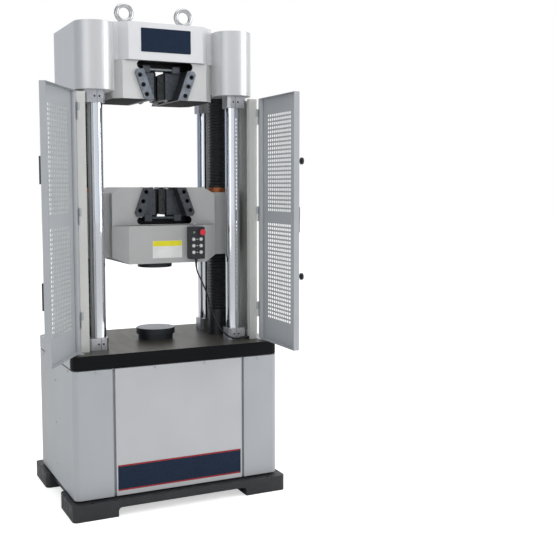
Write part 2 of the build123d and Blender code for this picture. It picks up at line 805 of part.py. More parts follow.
# Liners, end plates and jaws of both grips
grips = (("upper", upper_mouth_z, 1, upper_half_depth), ("lower", middle_top_z, -1, middle_half_depth))
lug_z_inner = bar_level - lug_height / 2
lug_z_outer = bar_level + lug_height / 2 - 2
for grip, mouth_z, inward, half_depth in grips:
    with BuildPart() as liners:
        for side in (-1, 1):
            with BuildSketch(Plane.XZ):
                with BuildLine():
                    Polyline(*grip_points(liner, mouth_z, inward, side), close=True)
                make_face()
            extrude(amount=half_depth, both=True)
            with BuildSketch(Plane.XZ):
                with BuildLine():
                    Polyline(*grip_points(liner_key, mouth_z, inward, side), close=True)
                make_face()
            extrude(amount=key_half_width, both=True)
    liners.part.label = f"{grip}_liners"
    export_step(liners.part, f"parts/{grip}_liners.step")

    with BuildPart() as end_plates:
        for front in (-1, 1):
            for side in (-1, 1):
                with BuildSketch(Plane.XZ.offset(-front * half_depth)):
                    with BuildLine():
                        Polyline(*grip_points(end_plate, mouth_z, inward, side), close=True)
                    make_face()
                extrude(amount=-front * end_plate_thickness)
                with BuildSketch(Plane.XZ.offset(-front * (half_depth + end_plate_thickness))):
                    with Locations(*grip_points(plate_bolts, mouth_z, inward, side)):
                        Circle(end_plate_bolt_radius)
                extrude(amount=front * end_plate_bolt_depth, mode=Mode.SUBTRACT)
    end_plates.part.label = f"{grip}_end_plates"
    export_step(end_plates.part, f"parts/{grip}_end_plates.step")

    for side, hand in ((-1, "left"), (1, "right")):
        with BuildPart() as grip_jaw:
            with BuildSketch(Plane.XZ):
                with BuildLine():
                    Polyline(*grip_points(jaw, mouth_z, inward, side), close=True)
                make_face()
            extrude(amount=jaw_half_depth, both=True)
            with BuildSketch(Plane.XZ):
                with BuildLine():
                    Polyline(*grip_points(jaw_groove, mouth_z, inward, side), close=True)
                make_face()
            extrude(amount=key_half_width + move_gap, both=True, mode=Mode.SUBTRACT)
            with BuildSketch(Plane.XY.offset(mouth_z + inward * (jaw_start + jaw_end) / 2)):
                with BuildLine():
                    Polyline(
                        (side * (jaw_half_gap - 0.1), -vee_half_width),
                        (side * (jaw_half_gap + vee_depth), 0),
                        (side * (jaw_half_gap - 0.1), vee_half_width),
                        close=True,
                    )
                make_face()
            extrude(amount=jaw_end, both=True, mode=Mode.SUBTRACT)
            with BuildSketch(Plane.XZ.offset(bar_front + lug_depth / 3)):
                with Locations((side * lug_x, mouth_z + inward * (lug_z_inner + lug_z_outer) / 2)):
                    Rectangle(lug_width, lug_z_outer - lug_z_inner)
            extrude(amount=-lug_depth)
            with BuildSketch(Plane.YZ.offset(side * lug_x)):
                with Locations((-bar_front, mouth_z + inward * bar_level)):
                    Circle(bar_radius + running_fit)
            extrude(amount=lug_width, both=True, mode=Mode.SUBTRACT)
        grip_jaw.part.label = f"{grip}_{hand}_jaw"
        export_step(grip_jaw.part, f"parts/{grip}_{hand}_jaw.step")

    with BuildPart() as jaw_bar:
        with BuildSketch(Plane.YZ):
            with Locations((-bar_front, mouth_z + inward * bar_level)):
                Circle(bar_radius)
        extrude(amount=bar_half_length, both=True)
    jaw_bar.part.label = f"{grip}_jaw_bar"
    export_step(jaw_bar.part, f"parts/{grip}_jaw_bar.step")

# Front and rear covers of the upper crosshead: folded skins with a top plate each
cover_fold = [
    (-head_side_x, -head_side_y),
    (-head_chamfer_x, -head_chamfer_y),
    (-head_front_half, -head_front_depth),
    (head_front_half, -head_front_depth),
    (head_chamfer_x, -head_chamfer_y),
    (head_side_x, -head_side_y),
]
for front, name in ((1, "upper_front_cover"), (-1, "upper_rear_cover")):
    fold = [(x, front * y) for x, y in cover_fold]
    with BuildPart() as head_cover:
        with BuildSketch(Plane.XY.offset(head_join_z)):
            with BuildLine():
                Polyline(*fold, (head_side_x, 0), (-head_side_x, 0), close=True)
            make_face()
        extrude(amount=head_top_z - head_join_z)
        with BuildSketch(Plane.XY.offset(head_join_z)):
            with BuildLine():
                Polyline(*fold, (head_side_x, 0), (-head_side_x, 0), close=True)
            make_face()
            offset(amount=-sheet)
            with Locations((0, front * sheet)):
                Rectangle(2 * (head_side_x - sheet), 4 * sheet)
        extrude(amount=head_top_z - head_join_z - sheet, mode=Mode.SUBTRACT)
        with BuildSketch(Plane.XY.offset(head_join_z)):
            Rectangle(2 * head_side_x, 2 * head_side_y - 1)
        extrude(amount=cover_top_z + move_gap - head_join_z, mode=Mode.SUBTRACT)
    head_cover.part.label = name
    export_step(head_cover.part, f"parts/{name}.step")

# Side covers: silver shells over the column ends, open towards the crosshead
for side, name in ((-1, "left_side_cover"), (1, "right_side_cover")):
    rounds = [(side * column_x, -column_y), (side * column_x, column_y)]
    neck_x = side * (head_side_x + column_x) / 2
    neck_width = column_x - head_side_x
    with BuildPart() as side_cover:
        with BuildSketch(Plane.XY.offset(cover_bottom_z)):
            with Locations(*rounds):
                Circle(cover_radius)
            make_hull()
            with Locations((neck_x, 0)):
                Rectangle(neck_width, 2 * head_side_y)
        extrude(amount=cover_height)
        with BuildSketch(Plane.XY.offset(cover_bottom_z + sheet)):
            with Locations(*rounds):
                Circle(cover_radius - sheet)
            make_hull()
            with Locations((neck_x - side * sheet, 0)):
                Rectangle(neck_width + 2 * sheet, 2 * (head_side_y - sheet))
        extrude(amount=cover_height - 2 * sheet, mode=Mode.SUBTRACT)
        with BuildSketch(Plane.XY.offset(cover_bottom_z)):
            with Locations(*rounds):
                Circle(column_radius + seat_fit)
            with Locations((side * column_x, 0)):
                Circle(bellows_radius + bellows_pass)
            with Locations((side * (head_side_x - cover_mouth / 2), 0)):
                Rectangle(cover_mouth, 2 * head_side_y)
        extrude(amount=sheet, mode=Mode.SUBTRACT)
    side_cover.part.label = name
    export_step(side_cover.part, f"parts/{name}.step")

# Lifting eyes screwed through the top plate
eye_z = head_top_z + eye_height
with BuildPart() as eyebolts:
    for x in (-eye_x, eye_x):
        with BuildSketch(Plane.XY.offset(head_top_z)):
            with Locations((x, eye_y)):
                Circle(eye_collar_radius)
        extrude(amount=eye_collar_height)
        with BuildSketch(Plane.XY.offset(head_top_z + eye_collar_height)):
            with Locations((x, eye_y)):
                Circle(eye_neck_radius)
        extrude(amount=eye_height - eye_ring_radius - eye_collar_height, taper=eye_neck_taper)
        with Locations((x, eye_y, eye_z)):
            Torus(eye_ring_radius, eye_bar_radius, rotation=(90, 0, 0))
eyebolts.part.label = "eyebolts"
export_step(eyebolts.part, "parts/eyebolts.step")

# Covers of the middle crosshead's lower half: chamfered sides that rise towards the ends
middle_side = middle_block_x + 2
for front, name in ((1, "middle_front_cover"), (-1, "middle_rear_cover")):
    plan = [
        (-middle_side, 0),
        (-middle_side, -front * middle_cover_side_y),
        (-middle_cover_half, -front * middle_cover_depth),
        (middle_cover_half, -front * middle_cover_depth),
        (middle_side, -front * middle_cover_side_y),
        (middle_side, 0),
    ]
    with BuildPart() as grip_cover:
        with BuildSketch(Plane.XY.offset(middle_bottom_z)):
            with BuildLine():
                Polyline(*plan, close=True)
            make_face()
        extrude(amount=middle_join_z - middle_bottom_z)
        with BuildSketch(Plane.XY.offset(middle_bottom_z + sheet)):
            with BuildLine():
                Polyline(*plan, close=True)
            make_face()
            offset(amount=-sheet)
            Rectangle(2 * (middle_side - sheet), 4 * sheet)
        extrude(amount=middle_join_z - middle_bottom_z - sheet, mode=Mode.SUBTRACT)
        with BuildSketch(Plane.XZ):
            for side in (-1, 1):
                with BuildLine():
                    Polyline(
                        (side * middle_cover_half, middle_bottom_z - 1),
                        (side * (middle_side + 1), middle_bottom_z - 1),
                        (side * (middle_side + 1), end_bottom_z),
                        (side * middle_block_x, end_bottom_z),
                        (side * middle_cover_half, middle_bottom_z),
                        close=True,
                    )
                make_face()
        extrude(amount=2 * middle_cover_depth, both=True, mode=Mode.SUBTRACT)
        with BuildSketch(Plane.XY.offset(middle_bottom_z)):
            Rectangle(2 * middle_side + 2, 2 * middle_end_y + 1)
            Rectangle(2 * middle_cover_half + 4, 2 * middle_end_y + 4, mode=Mode.SUBTRACT)
        extrude(amount=middle_height, mode=Mode.SUBTRACT)
        with BuildSketch(Plane.XY.offset(middle_bottom_z)):
            Circle(platen_stem_radius + platen_gap)
            Rectangle(2 * middle_side + 2, 0.2)
        extrude(amount=middle_height, mode=Mode.SUBTRACT)
    grip_cover.part.label = name
    export_step(grip_cover.part, f"parts/{name}.step")

# Bronze nuts in the crosshead's ends
with BuildPart() as screw_nuts:
    with BuildSketch(Plane.XY.offset(end_top_z - nut_body_length)):
        with Locations(*two_screws):
            Circle(nut_body_radius)
    extrude(amount=nut_body_length)
    with BuildSketch(Plane.XY.offset(end_top_z)):
        with Locations(*two_screws):
            Circle(nut_flange_radius)
    extrude(amount=nut_flange_height)
    with BuildSketch(Plane.XY.offset(end_top_z - nut_body_length)):
        with Locations(*two_screws):
            Circle(screw_radius + running_fit)
    extrude(amount=nut_body_length + nut_flange_height, mode=Mode.SUBTRACT)
screw_nuts.part.label = "screw_nuts"
export_step(screw_nuts.part, "parts/screw_nuts.step")

# Compression platens
upper_platen_bottom = middle_bottom_z - platen_gap - upper_platen_height
with BuildPart() as upper_platen:
    with BuildSketch(Plane.XY.offset(upper_platen_bottom)):
        Circle(upper_platen_radius)
    extrude(amount=upper_platen_height)
    chamfer(upper_platen.edges().filter_by(GeomType.CIRCLE), length=platen_edge)
    with BuildSketch(Plane.XY.offset(upper_platen_bottom + upper_platen_height)):
        Circle(platen_stem_radius)
    extrude(amount=platen_gap + sheet + move_gap)
upper_platen.part.label = "upper_platen"
export_step(upper_platen.part, "parts/upper_platen.step")

with BuildPart() as lower_platen:
    with BuildSketch(Plane.XY.offset(table_top)):
        Circle(lower_platen_foot)
    extrude(amount=lower_platen_step)
    with BuildSketch(Plane.XY.offset(table_top + lower_platen_step)):
        Circle(lower_platen_radius)
    extrude(amount=lower_platen_height - lower_platen_step)
    chamfer(lower_platen.edges().filter_by(GeomType.CIRCLE).group_by(Axis.Z)[-1], length=platen_edge)
lower_platen.part.label = "lower_platen"
export_step(lower_platen.part, "parts/lower_platen.step")

# Sleeves on the worktable that take the bellows when the ram lifts
with BuildPart() as bellows_sleeves:
    with BuildSketch(Plane.XY.offset(table_top)):
        with Locations(*two_screws):
            Circle(sleeve_flange_radius)
    extrude(amount=sleeve_flange_height)
    with BuildSketch(Plane.XY.offset(table_top)):
        with Locations(*two_screws):
            Circle(sleeve_radius)
    extrude(amount=sleeve_height)
    with BuildSketch(Plane.XY.offset(table_top)):
        with Locations(*two_screws):
            Circle(sleeve_bore)
    extrude(amount=sleeve_height, mode=Mode.SUBTRACT)
bellows_sleeves.part.label = "bellows_sleeves"
export_step(bellows_sleeves.part, "parts/bellows_sleeves.step")

# Hand control on the crosshead's front cover: box, bracket and cord gland
cover_face_y = -middle_cover_depth
pendant_back_y = cover_face_y - pendant_bracket
pendant_face_y = pendant_back_y - pendant_depth
pendant_top_z = middle_top_z - pendant_top_drop
pendant_bottom_z = pendant_top_z - pendant_height
button_spots = [
    (pendant_x + (column - 0.5) * button_pitch_x, pendant_top_z - button_first - row * button_pitch_z)
    for row in range(button_rows)
    for column in (0, 1)
]
stop_spot = (pendant_x + stop_offset, pendant_top_z - stop_drop)
with BuildPart() as pendant_housing:
    with BuildSketch(Plane.XZ.offset(-pendant_back_y)):
        with Locations((pendant_x, pendant_top_z - pendant_height / 2)):
            RectangleRounded(pendant_width, pendant_height, pendant_corner)
    extrude(amount=pendant_depth)
    with BuildSketch(Plane.XZ.offset(-cover_face_y)):
        with Locations((pendant_x, pendant_top_z - pendant_height / 4)):
            Rectangle(pendant_width / 2, pendant_height / 3)
    extrude(amount=pendant_bracket)
    with BuildSketch(Plane.XZ.offset(-pendant_face_y)):
        with Locations(*button_spots):
            Circle(button_radius + move_gap)
    extrude(amount=-button_length, mode=Mode.SUBTRACT)
    with BuildSketch(Plane.XZ.offset(-pendant_face_y)):
        with Locations(stop_spot):
            Circle(stop_neck_radius + move_gap)
    extrude(amount=-button_length, mode=Mode.SUBTRACT)
    gland_y = pendant_back_y - pendant_depth / 2
    with BuildSketch(Plane.XY.offset(pendant_bottom_z - gland_cord_length)):
        with Locations((pendant_x, gland_y)):
            Circle(gland_cord_radius)
    extrude(amount=gland_cord_length)
pendant_housing.part.label = "pendant_housing"
export_step(pendant_housing.part, "parts/pendant_housing.step")

# Push buttons and the emergency stop
for number, spot in enumerate(button_spots, start=1):
    with BuildPart() as button:
        with BuildSketch(Plane.XZ.offset(-pendant_face_y - button_length + button_travel + button_seat)):
            with Locations(spot):
                Circle(button_radius)
        extrude(amount=button_length - button_travel - button_seat + button_stand)
        chamfer(button.edges().group_by(Axis.Y)[0], length=1)
    button.part.label = f"button_{number}"
    export_step(button.part, f"parts/button_{number}.step")

with BuildPart() as emergency_stop:
    with BuildSketch(Plane.XZ.offset(-pendant_face_y - button_length + stop_travel + button_seat)):
        with Locations(stop_spot):
            Circle(stop_neck_radius)
    extrude(amount=button_length - stop_travel - button_seat + stop_stand - stop_cap)
    with BuildSketch(Plane.XZ.offset(-pendant_face_y + stop_stand - stop_cap)):
        with Locations(stop_spot):
            Circle(stop_radius)
    extrude(amount=stop_cap)
    chamfer(emergency_stop.edges().group_by(Axis.Y)[0], length=stop_edge)
emergency_stop.part.label = "emergency_stop"
export_step(emergency_stop.part, "parts/emergency_stop.step")

# Cord of the hand control, from its gland down to the worktable and along to the post's gland
post_inner_x = guard_x - post_width
cord_gland_y = -(guard_front + cord_gland_ahead)
cord_end_z = table_top + cord_level
cord_points = [
    (pendant_x, gland_y, pendant_bottom_z - gland_cord_length),
    (pendant_x, gland_y, pendant_bottom_z - 51),
    (pendant_x + 19, gland_y - 3, pendant_bottom_z - 91),
    (pendant_x + 43, gland_y - 7, pendant_bottom_z - 146),
    (pendant_x + 62, gland_y - 10, pendant_bottom_z - 206),
    (pendant_x + 77, gland_y - 13, pendant_bottom_z - 263),
    (pendant_x + 101, gland_y - 17, pendant_bottom_z - 317),
    (pendant_x + 135, gland_y - 21, table_top + 31),
    (pendant_x + 173, gland_y - 23, table_top + 9),
    (pendant_x + 207, gland_y - 20, table_top + 5),
    (pendant_x + 228, cord_gland_y, cord_end_z),
    (post_inner_x - table_gland_length, cord_gland_y, cord_end_z),
]


def cord_radii(points):
    """Largest tangent arc that each corner's two runs allow."""
    places = [Vector(*point) for point in points]
    radii = []
    for before, corner, after in zip(places, places[1:], places[2:]):
        turn = radians((corner - before).get_angle(after - corner))
        run = min((corner - before).length, (after - corner).length)
        radii.append(0.45 * run / tan(turn / 2))
    return radii


radii = cord_radii(cord_points)
print("cord arc radii", [round(radius) for radius in radii])
with BuildPart() as pendant_cord:
    with BuildLine() as cord_route:
        FilletPolyline(*cord_points, radius=radii)
    with BuildSketch(Plane(origin=cord_points[0], z_dir=cord_route.line % 0)):
        Circle(cord_radius)
    sweep()
cord_length = cord_route.wire().length
cord_ratio = pendant_cord.part.volume / (pi * cord_radius**2 * cord_length)
print("cord length", round(cord_length), "volume over section times length", round(cord_ratio, 4))
pendant_cord.part.label = "pendant_cord"
export_step(pendant_cord.part, "parts/pendant_cord.step")

# Gland for the cord's far end, on the right post
with BuildPart() as cord_gland:
    with BuildSketch(Plane.YZ.offset(post_inner_x - table_gland_length)):
        with Locations((cord_gland_y, cord_end_z)):
            Circle(gland_cord_radius)
    extrude(amount=table_gland_length)
cord_gland.part.label = "cord_gland"
export_step(cord_gland.part, "parts/cord_gland.step")

# Side guards: a sheet with a skirt over the worktable's edge, two posts, stays and hinge knuckles
hinge_x = guard_x - hinge_inset
hinge_y = -(guard_front + post_depth + hinge_ahead)
skirt_x = frame_width / 2 + skirt_clear
stay_reach = guard_x - column_x - collar_offset - collar_width / 2
hinge_low_z = table_top + hinge_low
hinge_high_z = guard_top_z - hinge_drop
hinge_levels = (hinge_low_z, (hinge_low_z + hinge_high_z) / 2, hinge_high_z)
for side, name in ((-1, "left_side_guard"), (1, "right_side_guard")):
    with BuildPart() as side_guard:
        with BuildSketch(Plane.XY.offset(table_top)):
            with Locations((side * (guard_x - sheet / 2), (guard_back - guard_front) / 2)):
                Rectangle(sheet, guard_front + guard_back)
            for y in (-(guard_front + post_depth / 2), guard_back):
                with Locations((side * (guard_x - post_width / 2), y)):
                    Rectangle(post_width, post_depth)
        extrude(amount=guard_top_z - table_top)
        with BuildSketch(Plane.XY.offset(table_top)):
            with Locations((side * (guard_x + skirt_x) / 2, 0)):
                Rectangle(skirt_x + 2 * sheet - guard_x, 2 * skirt_half_length)
        extrude(amount=sheet)
        with BuildSketch(Plane.XY.offset(table_top - skirt_drop)):
            with Locations((side * (skirt_x + sheet / 2), 0)):
                Rectangle(sheet, 2 * skirt_half_length)
        extrude(amount=skirt_drop + sheet)
        for level in collar_levels:
            with BuildSketch(Plane.XY.offset(level + (collar_height - stay_height) / 2)):
                with Locations(*[(side * (guard_x - stay_reach / 2), y) for y in (-column_y, column_y)]):
                    Rectangle(stay_reach, stay_height)
            extrude(amount=stay_height)
        for level in hinge_levels:
            with BuildSketch(Plane.XY.offset(level)):
                with Locations((side * hinge_x, hinge_y)):
                    Circle(hinge_pin_radius)
            extrude(amount=hinge_length)
            with BuildSketch(Plane.XY.offset(level)):
                with Locations((side * hinge_x, hinge_y)):
                    Circle(hinge_radius)
                with Locations((side * (hinge_x - hinge_radius / 2), hinge_y + hinge_ahead / 2)):
                    Rectangle(hinge_radius, hinge_ahead)
            extrude(amount=hinge_length / 2 - move_gap)
    side_guard.part.label = name
    export_step(side_guard.part, f"parts/{name}.step")

# Doors: a curved hinge side, a flat with slots, lips all round. Drawn closed, then turned open.
door_low_z = table_top + door_bottom
door_height = guard_top_z - door_low_z
slot_span = (door_height - slot_margin_low - slot_margin_high - slot_block_gap) / 2
slot_rows = round(slot_span / slot_pitch) + 1
slot_blocks = (slot_margin_low + slot_span / 2, door_height - slot_margin_high - slot_span / 2)
for side, name, opening in ((-1, "left_door", left_door_open), (1, "right_door", right_door_open)):
    hinge = Axis((side * hinge_x, hinge_y, 0), (0, 0, 1))
    start_x = side * guard_x
    curve_end_x = side * (guard_x - door_curve)
    free_x = side * (guard_x - door_curve - door_flat)
    start_y = hinge_y - door_start
    face_y = start_y - door_curve
    with BuildPart() as door:
        with BuildSketch(Plane.XY.offset(door_low_z)):
            with BuildLine():
                outer_side = Line((start_x, start_y), (start_x, start_y - door_straight))
                outer_arc = RadiusArc(outer_side @ 1, (curve_end_x, face_y), side * -door_curve)
                inner_y = face_y + door_skin
                edge = Polyline(outer_arc @ 1, (free_x, face_y), (free_x, inner_y), (curve_end_x, inner_y))
                skin_end = (start_x - side * door_skin, start_y - door_straight)
                inner_arc = RadiusArc(edge @ 1, skin_end, side * (door_curve - door_skin))
                Polyline(inner_arc @ 1, (start_x - side * door_skin, start_y), outer_side @ 0)
            make_face()
        extrude(amount=door_height)
        for level in (door_low_z, guard_top_z - door_skin):
            with BuildSketch(Plane.XY.offset(level)):
                with BuildLine():
                    outer_side = Line((start_x, start_y), (start_x, start_y - door_straight))
                    outer_arc = RadiusArc(outer_side @ 1, (curve_end_x, face_y), side * -door_curve)
                    Polyline(
                        outer_arc @ 1,
                        (free_x, face_y),
                        (free_x, face_y + door_lip),
                        (start_x - side * door_lip, face_y + door_lip),
                        (start_x - side * door_lip, start_y),
                        outer_side @ 0,
                    )
                make_face()
            extrude(amount=door_skin)
        with BuildSketch(Plane.XY.offset(door_low_z)):
            with Locations((free_x + side * door_skin / 2, face_y + door_lip / 2)):
                Rectangle(door_skin, door_lip)
        extrude(amount=door_height)
        with BuildSketch(Plane.XZ.offset(-face_y)):
            field_x = (curve_end_x + free_x) / 2 + side * slot_field_offset
            for block in slot_blocks:
                with Locations((field_x, door_low_z + block)):
                    with GridLocations(slot_group_pitch, slot_pitch, slot_groups, slot_rows):
                        Rectangle(slot_group_length, slot_height)
        extrude(amount=-2 * door_skin, mode=Mode.SUBTRACT)
        for level in hinge_levels:
            with BuildSketch(Plane.XY.offset(level + hinge_length / 2)):
                with Locations((side * hinge_x, hinge_y)):
                    Circle(hinge_radius)
                with Locations((side * (hinge_x + hinge_inset / 2), (hinge_y + start_y) / 2)):
                    Rectangle(hinge_inset, door_start)
                with Locations((side * (guard_x - door_skin / 2), start_y)):
                    Rectangle(door_skin, 2 * sheet)
                with Locations((side * hinge_x, hinge_y)):
                    Circle(hinge_pin_radius + running_fit, mode=Mode.SUBTRACT)
            extrude(amount=hinge_length / 2)
    opened = door.part.rotate(hinge, side * opening)
    opened.label = name
    export_step(opened, f"parts/{name}.step")

    # Pull handles, and on the right door two latch knobs
    handle_levels = left_handle_levels if side < 0 else right_handle_levels
    with BuildPart() as handle:
        for level in handle_levels:
            centre = (free_x + side * handle_edge, table_top + level)
            with BuildSketch(Plane.XZ.offset(-face_y)):
                with Locations(centre):
                    with GridLocations(1, handle_length - handle_bar, 1, 2):
                        Rectangle(handle_bar, handle_bar)
            extrude(amount=handle_reach)
            with BuildSketch(Plane.XZ.offset(-face_y + handle_reach - handle_bar)):
                with Locations(centre):
                    RectangleRounded(handle_bar, handle_length, handle_bar_corner)
            extrude(amount=handle_bar)
        if side == 1:
            knobs = [(free_x + side * knob_edge, table_top + level) for level in knob_levels]
            with BuildSketch(Plane.XZ.offset(-face_y)):
                with Locations(*knobs):
                    Circle(knob_neck_radius)
            extrude(amount=knob_reach)
            with BuildSketch(Plane.XZ.offset(-face_y + knob_reach - knob_cap)):
                with Locations(*knobs):
                    Circle(knob_radius)
            extrude(amount=knob_cap)
    turned = handle.part.rotate(hinge, side * opening)
    turned.label = f"{name}_handle"
    export_step(turned, f"parts/{name}_handle.step")
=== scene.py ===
from math import pi, radians, tan

import bmesh
import bpy
from mathutils import Matrix, Vector


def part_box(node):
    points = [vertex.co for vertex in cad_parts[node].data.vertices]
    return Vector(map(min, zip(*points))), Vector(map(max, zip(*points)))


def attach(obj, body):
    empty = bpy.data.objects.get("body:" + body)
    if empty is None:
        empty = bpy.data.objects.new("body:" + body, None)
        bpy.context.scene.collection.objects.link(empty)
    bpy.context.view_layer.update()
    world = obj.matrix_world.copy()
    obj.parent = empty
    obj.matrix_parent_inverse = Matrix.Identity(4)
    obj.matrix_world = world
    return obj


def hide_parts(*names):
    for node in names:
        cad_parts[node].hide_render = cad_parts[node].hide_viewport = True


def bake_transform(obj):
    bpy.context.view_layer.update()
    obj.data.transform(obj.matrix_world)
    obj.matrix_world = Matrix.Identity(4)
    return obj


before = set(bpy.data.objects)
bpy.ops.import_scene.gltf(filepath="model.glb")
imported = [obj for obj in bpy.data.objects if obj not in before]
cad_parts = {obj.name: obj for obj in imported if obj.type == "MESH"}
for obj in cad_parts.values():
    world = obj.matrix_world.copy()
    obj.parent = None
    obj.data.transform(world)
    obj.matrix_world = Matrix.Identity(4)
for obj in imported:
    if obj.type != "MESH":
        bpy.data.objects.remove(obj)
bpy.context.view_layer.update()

bl_info = {
    "name": "Testing machine dressing",
    "version": (1, 0, 0),
    "blender": (4, 5, 0),
    "location": "View3D > Sidebar > Testing machine",
    "description": "Finishes, fittings and cord of a universal testing machine",
    "category": "Object",
}

MM = 0.001
FRONT = (0, -1, 0)
BACK = (0, 1, 0)
UP = (0, 0, 1)

# A wave texture of this scale has bands about one metre apart
WAVE = 0.32


def linear(code):
    """Linear RGBA of an sRGB hex value."""
    parts = [int(code[i:i + 2], 16) / 255 for i in (0, 2, 4)]
    return tuple(c / 12.92 if c <= 0.04045 else ((c + 0.055) / 1.055) ** 2.4 for c in parts) + (1.0,)


def low(node):
    """Lowest corner of a CAD node at rest."""
    return Vector(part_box(node)[0])


def high(node):
    """Highest corner of a CAD node at rest."""
    return Vector(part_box(node)[1])


def middle(node):
    """Middle of a CAD node at rest."""
    return (low(node) + high(node)) / 2


def length_property(name, text, value):
    return bpy.props.FloatProperty(
        name=name, description=text, default=value * MM, unit="LENGTH", precision=4
    )


def power_property(name, text, value):
    return bpy.props.FloatProperty(name=name, description=text, default=value, unit="POWER")


def colour_property(name, text, code):
    return bpy.props.FloatVectorProperty(
        name=name, description=text, default=linear(code), size=4, subtype="COLOR", min=0, max=1
    )


class StudioSettings(bpy.types.PropertyGroup):
    """Camera and light."""

    camera_place: bpy.props.FloatVectorProperty(
        name="Camera place", description="Where the camera stands", size=3,
        default=(-1.4099, -4.1524, 1.4362), subtype="TRANSLATION",
    )
    camera_turn: bpy.props.FloatVectorProperty(
        name="Camera turn", description="How the camera is turned", size=3,
        default=(radians(84.8), 0, radians(-26.457)), subtype="EULER",
    )
    lens: bpy.props.FloatProperty(
        name="Lens", description="Focal length on a 36 mm wide sensor", default=59.21, unit="CAMERA"
    )
    room_light: bpy.props.FloatProperty(
        name="Room light", description="Strength of the soft light from all round", default=0.7
    )
    key_power: power_property("Key light", "Power of the large lamp at the front right", 105.0)
    fill_power: power_property("Fill light", "Power of the lamp at the front left", 31.0)
    top_power: power_property("Top light", "Power of the lamp overhead", 42.0)


class ColourSettings(bpy.types.PropertyGroup):
    """Colours of the finishes."""

    panel: colour_property("Panel paint", "Powder coat of the front and rear panels", "B9BBBE")
    wrap: colour_property("Wrap paint", "Powder coat of the side panels, guards' skirts and doors", "A9ADB1")
    guard: colour_property("Guard paint", "Warm light powder coat of the side guards", "CFD0CD")
    head: colour_property("Head cover paint", "White cover of the upper crosshead", "DEDFE2")
    cover: colour_property("Side cover paint", "Silver gloss paint of the column covers", "CECFD0")
    casting: colour_property("Crosshead paint", "Silver grey paint of the crossheads", "B2B3B3")
    base: colour_property("Base paint", "Black hammered paint of the base casting", "1F2225")
    table: colour_property("Table top", "Oiled ground top of the worktable", "57554F")
    grip: colour_property("Grip steel", "Black oxide steel of the grips", "3A3D41")
    bellows: colour_property("Bellows cloth", "Coated cloth of the bellows", "16181D")
    copper: colour_property("Nut bronze", "Bronze of the crosshead nuts", "C4784C")
    plastic: colour_property("Control box", "Black moulded housing of the hand control", "1D2026")
    nameplate: colour_property("Name plate", "Navy enamel of the plates", "19273C")
    line: colour_property("Plate edging", "Red edging of the lower plate", "961519")
    notice_head: colour_property("Notice heading", "Yellow heading of the notice plate", "E9E01E")
    notice_body: colour_property("Notice plate", "White of the notice plate", "E6E6E6")
    stop: colour_property("Stop button", "Red cap of the emergency stop", "D8263B")


class FittingSettings(bpy.types.PropertyGroup):
    """Sizes of the small fittings."""

    panel_screw: length_property("Panel screw", "Head radius of the panel screws", 5.5)
    plate_screw: length_property("Grip screw", "Head radius of the grip plate screws", 6.6)
    collar_screw: length_property("Collar screw", "Head radius of the collar screws", 4.2)
    pleat: length_property("Bellows pleat", "Distance from one pleat to the next", 15)
    bellows_root: length_property("Pleat root", "Radius at the foot of a pleat", 38)
    bellows_tip: length_property("Pleat tip", "Radius at the tip of a pleat", 44.6)
    square: length_property("Perforation", "Side of a square hole in the doors", 12)
    square_pitch: length_property("Perforation pitch", "Distance between square holes along a row", 20.5)
    plate: length_property("Plate thickness", "Thickness of the name plates", 1.2)
    cord: length_property("Cord diameter", "Outside diameter of the cord", 7)


def settings():
    return bpy.context.scene.machine_fittings


# Finishes


def plug(node, **values):
    """Sets a node's own settings, which are in lower case, then sets or links its inputs. A list is for
    inputs that share a name."""
    for name, value in values.items():
        if name.islower():
            setattr(node, name, value)
    for name, value in values.items():
        if name.islower():
            continue
        title = name.replace("_", " ")
        sockets = [socket for socket in node.inputs if socket.enabled and socket.name == title]
        for index, item in enumerate(value if isinstance(value, list) else [value]):
            if isinstance(item, bpy.types.NodeSocket):
                node.id_data.links.new(item, sockets[index])
            else:
                sockets[index].default_value = item


def add_node(tree, kind, output=None, **values):
    """Adds a node with its values, and gives the output of that name, or else the first in use."""
    node = tree.nodes.new("ShaderNode" + kind)
    plug(node, **values)
    return next(socket for socket in node.outputs if socket.enabled and output in (None, socket.name))


def new_material(name, make, *values):
    """A material whose Principled shader gets what make gives."""
    material = bpy.data.materials.new(name)
    material.use_nodes = True
    plug(material.node_tree.nodes["Principled BSDF"], **make(material.node_tree, *values))
    return material


def shade(colour, factor):
    """A colour made lighter or darker."""
    return tuple(min(1.0, c * factor) for c in colour[:3]) + (1.0,)


def noise(tree, size_mm, detail=2.0, stretch=(1, 1, 1), span=None, to=(0.0, 1.0)):
    """Noise whose features are about size_mm across. A span of it can be widened to another range."""
    place = add_node(tree, "TexCoord", "Object")
    place = add_node(tree, "Mapping", Vector=place, Scale=stretch)
    value = add_node(tree, "TexNoise", Vector=place, Scale=1 / (size_mm * MM), Detail=detail)
    if span:
        value = add_node(tree, "MapRange", Value=value, From_Min=span[0], From_Max=span[1], To_Min=to[0],
                         To_Max=to[1])
    return value


def clouded(tree, colour, dark, light, size_mm, detail=2.0, span=(0.3, 0.7)):
    """A colour that drifts between two shades of itself over about size_mm."""
    cloud = noise(tree, size_mm, detail, span=span)
    dark, light = shade(colour, dark), shade(colour, light)
    return add_node(tree, "Mix", data_type="RGBA", Factor=cloud, A=dark, B=light)


def worn_and_highlit(tree, base, colour, light, radius_mm):
    """Sharp edges rounded and made lighter, partly as rubbed wear and partly as a painted highlight along
    them: the colour, and the normals that round them.
    """
    normal = add_node(tree, "Bevel", Radius=radius_mm * MM, samples=4)
    true = add_node(tree, "NewGeometry", "Normal")
    match = add_node(tree, "VectorMath", "Value", operation="DOT_PRODUCT", Vector=[normal, true])
    edge = add_node(tree, "MapRange", Value=match, From_Min=0.98, From_Max=0.8)
    # The lighter edge colour is partly rubbed wear and partly a painted highlight
    return add_node(tree, "Mix", data_type="RGBA", Factor=edge, A=base, B=shade(colour, light)), normal


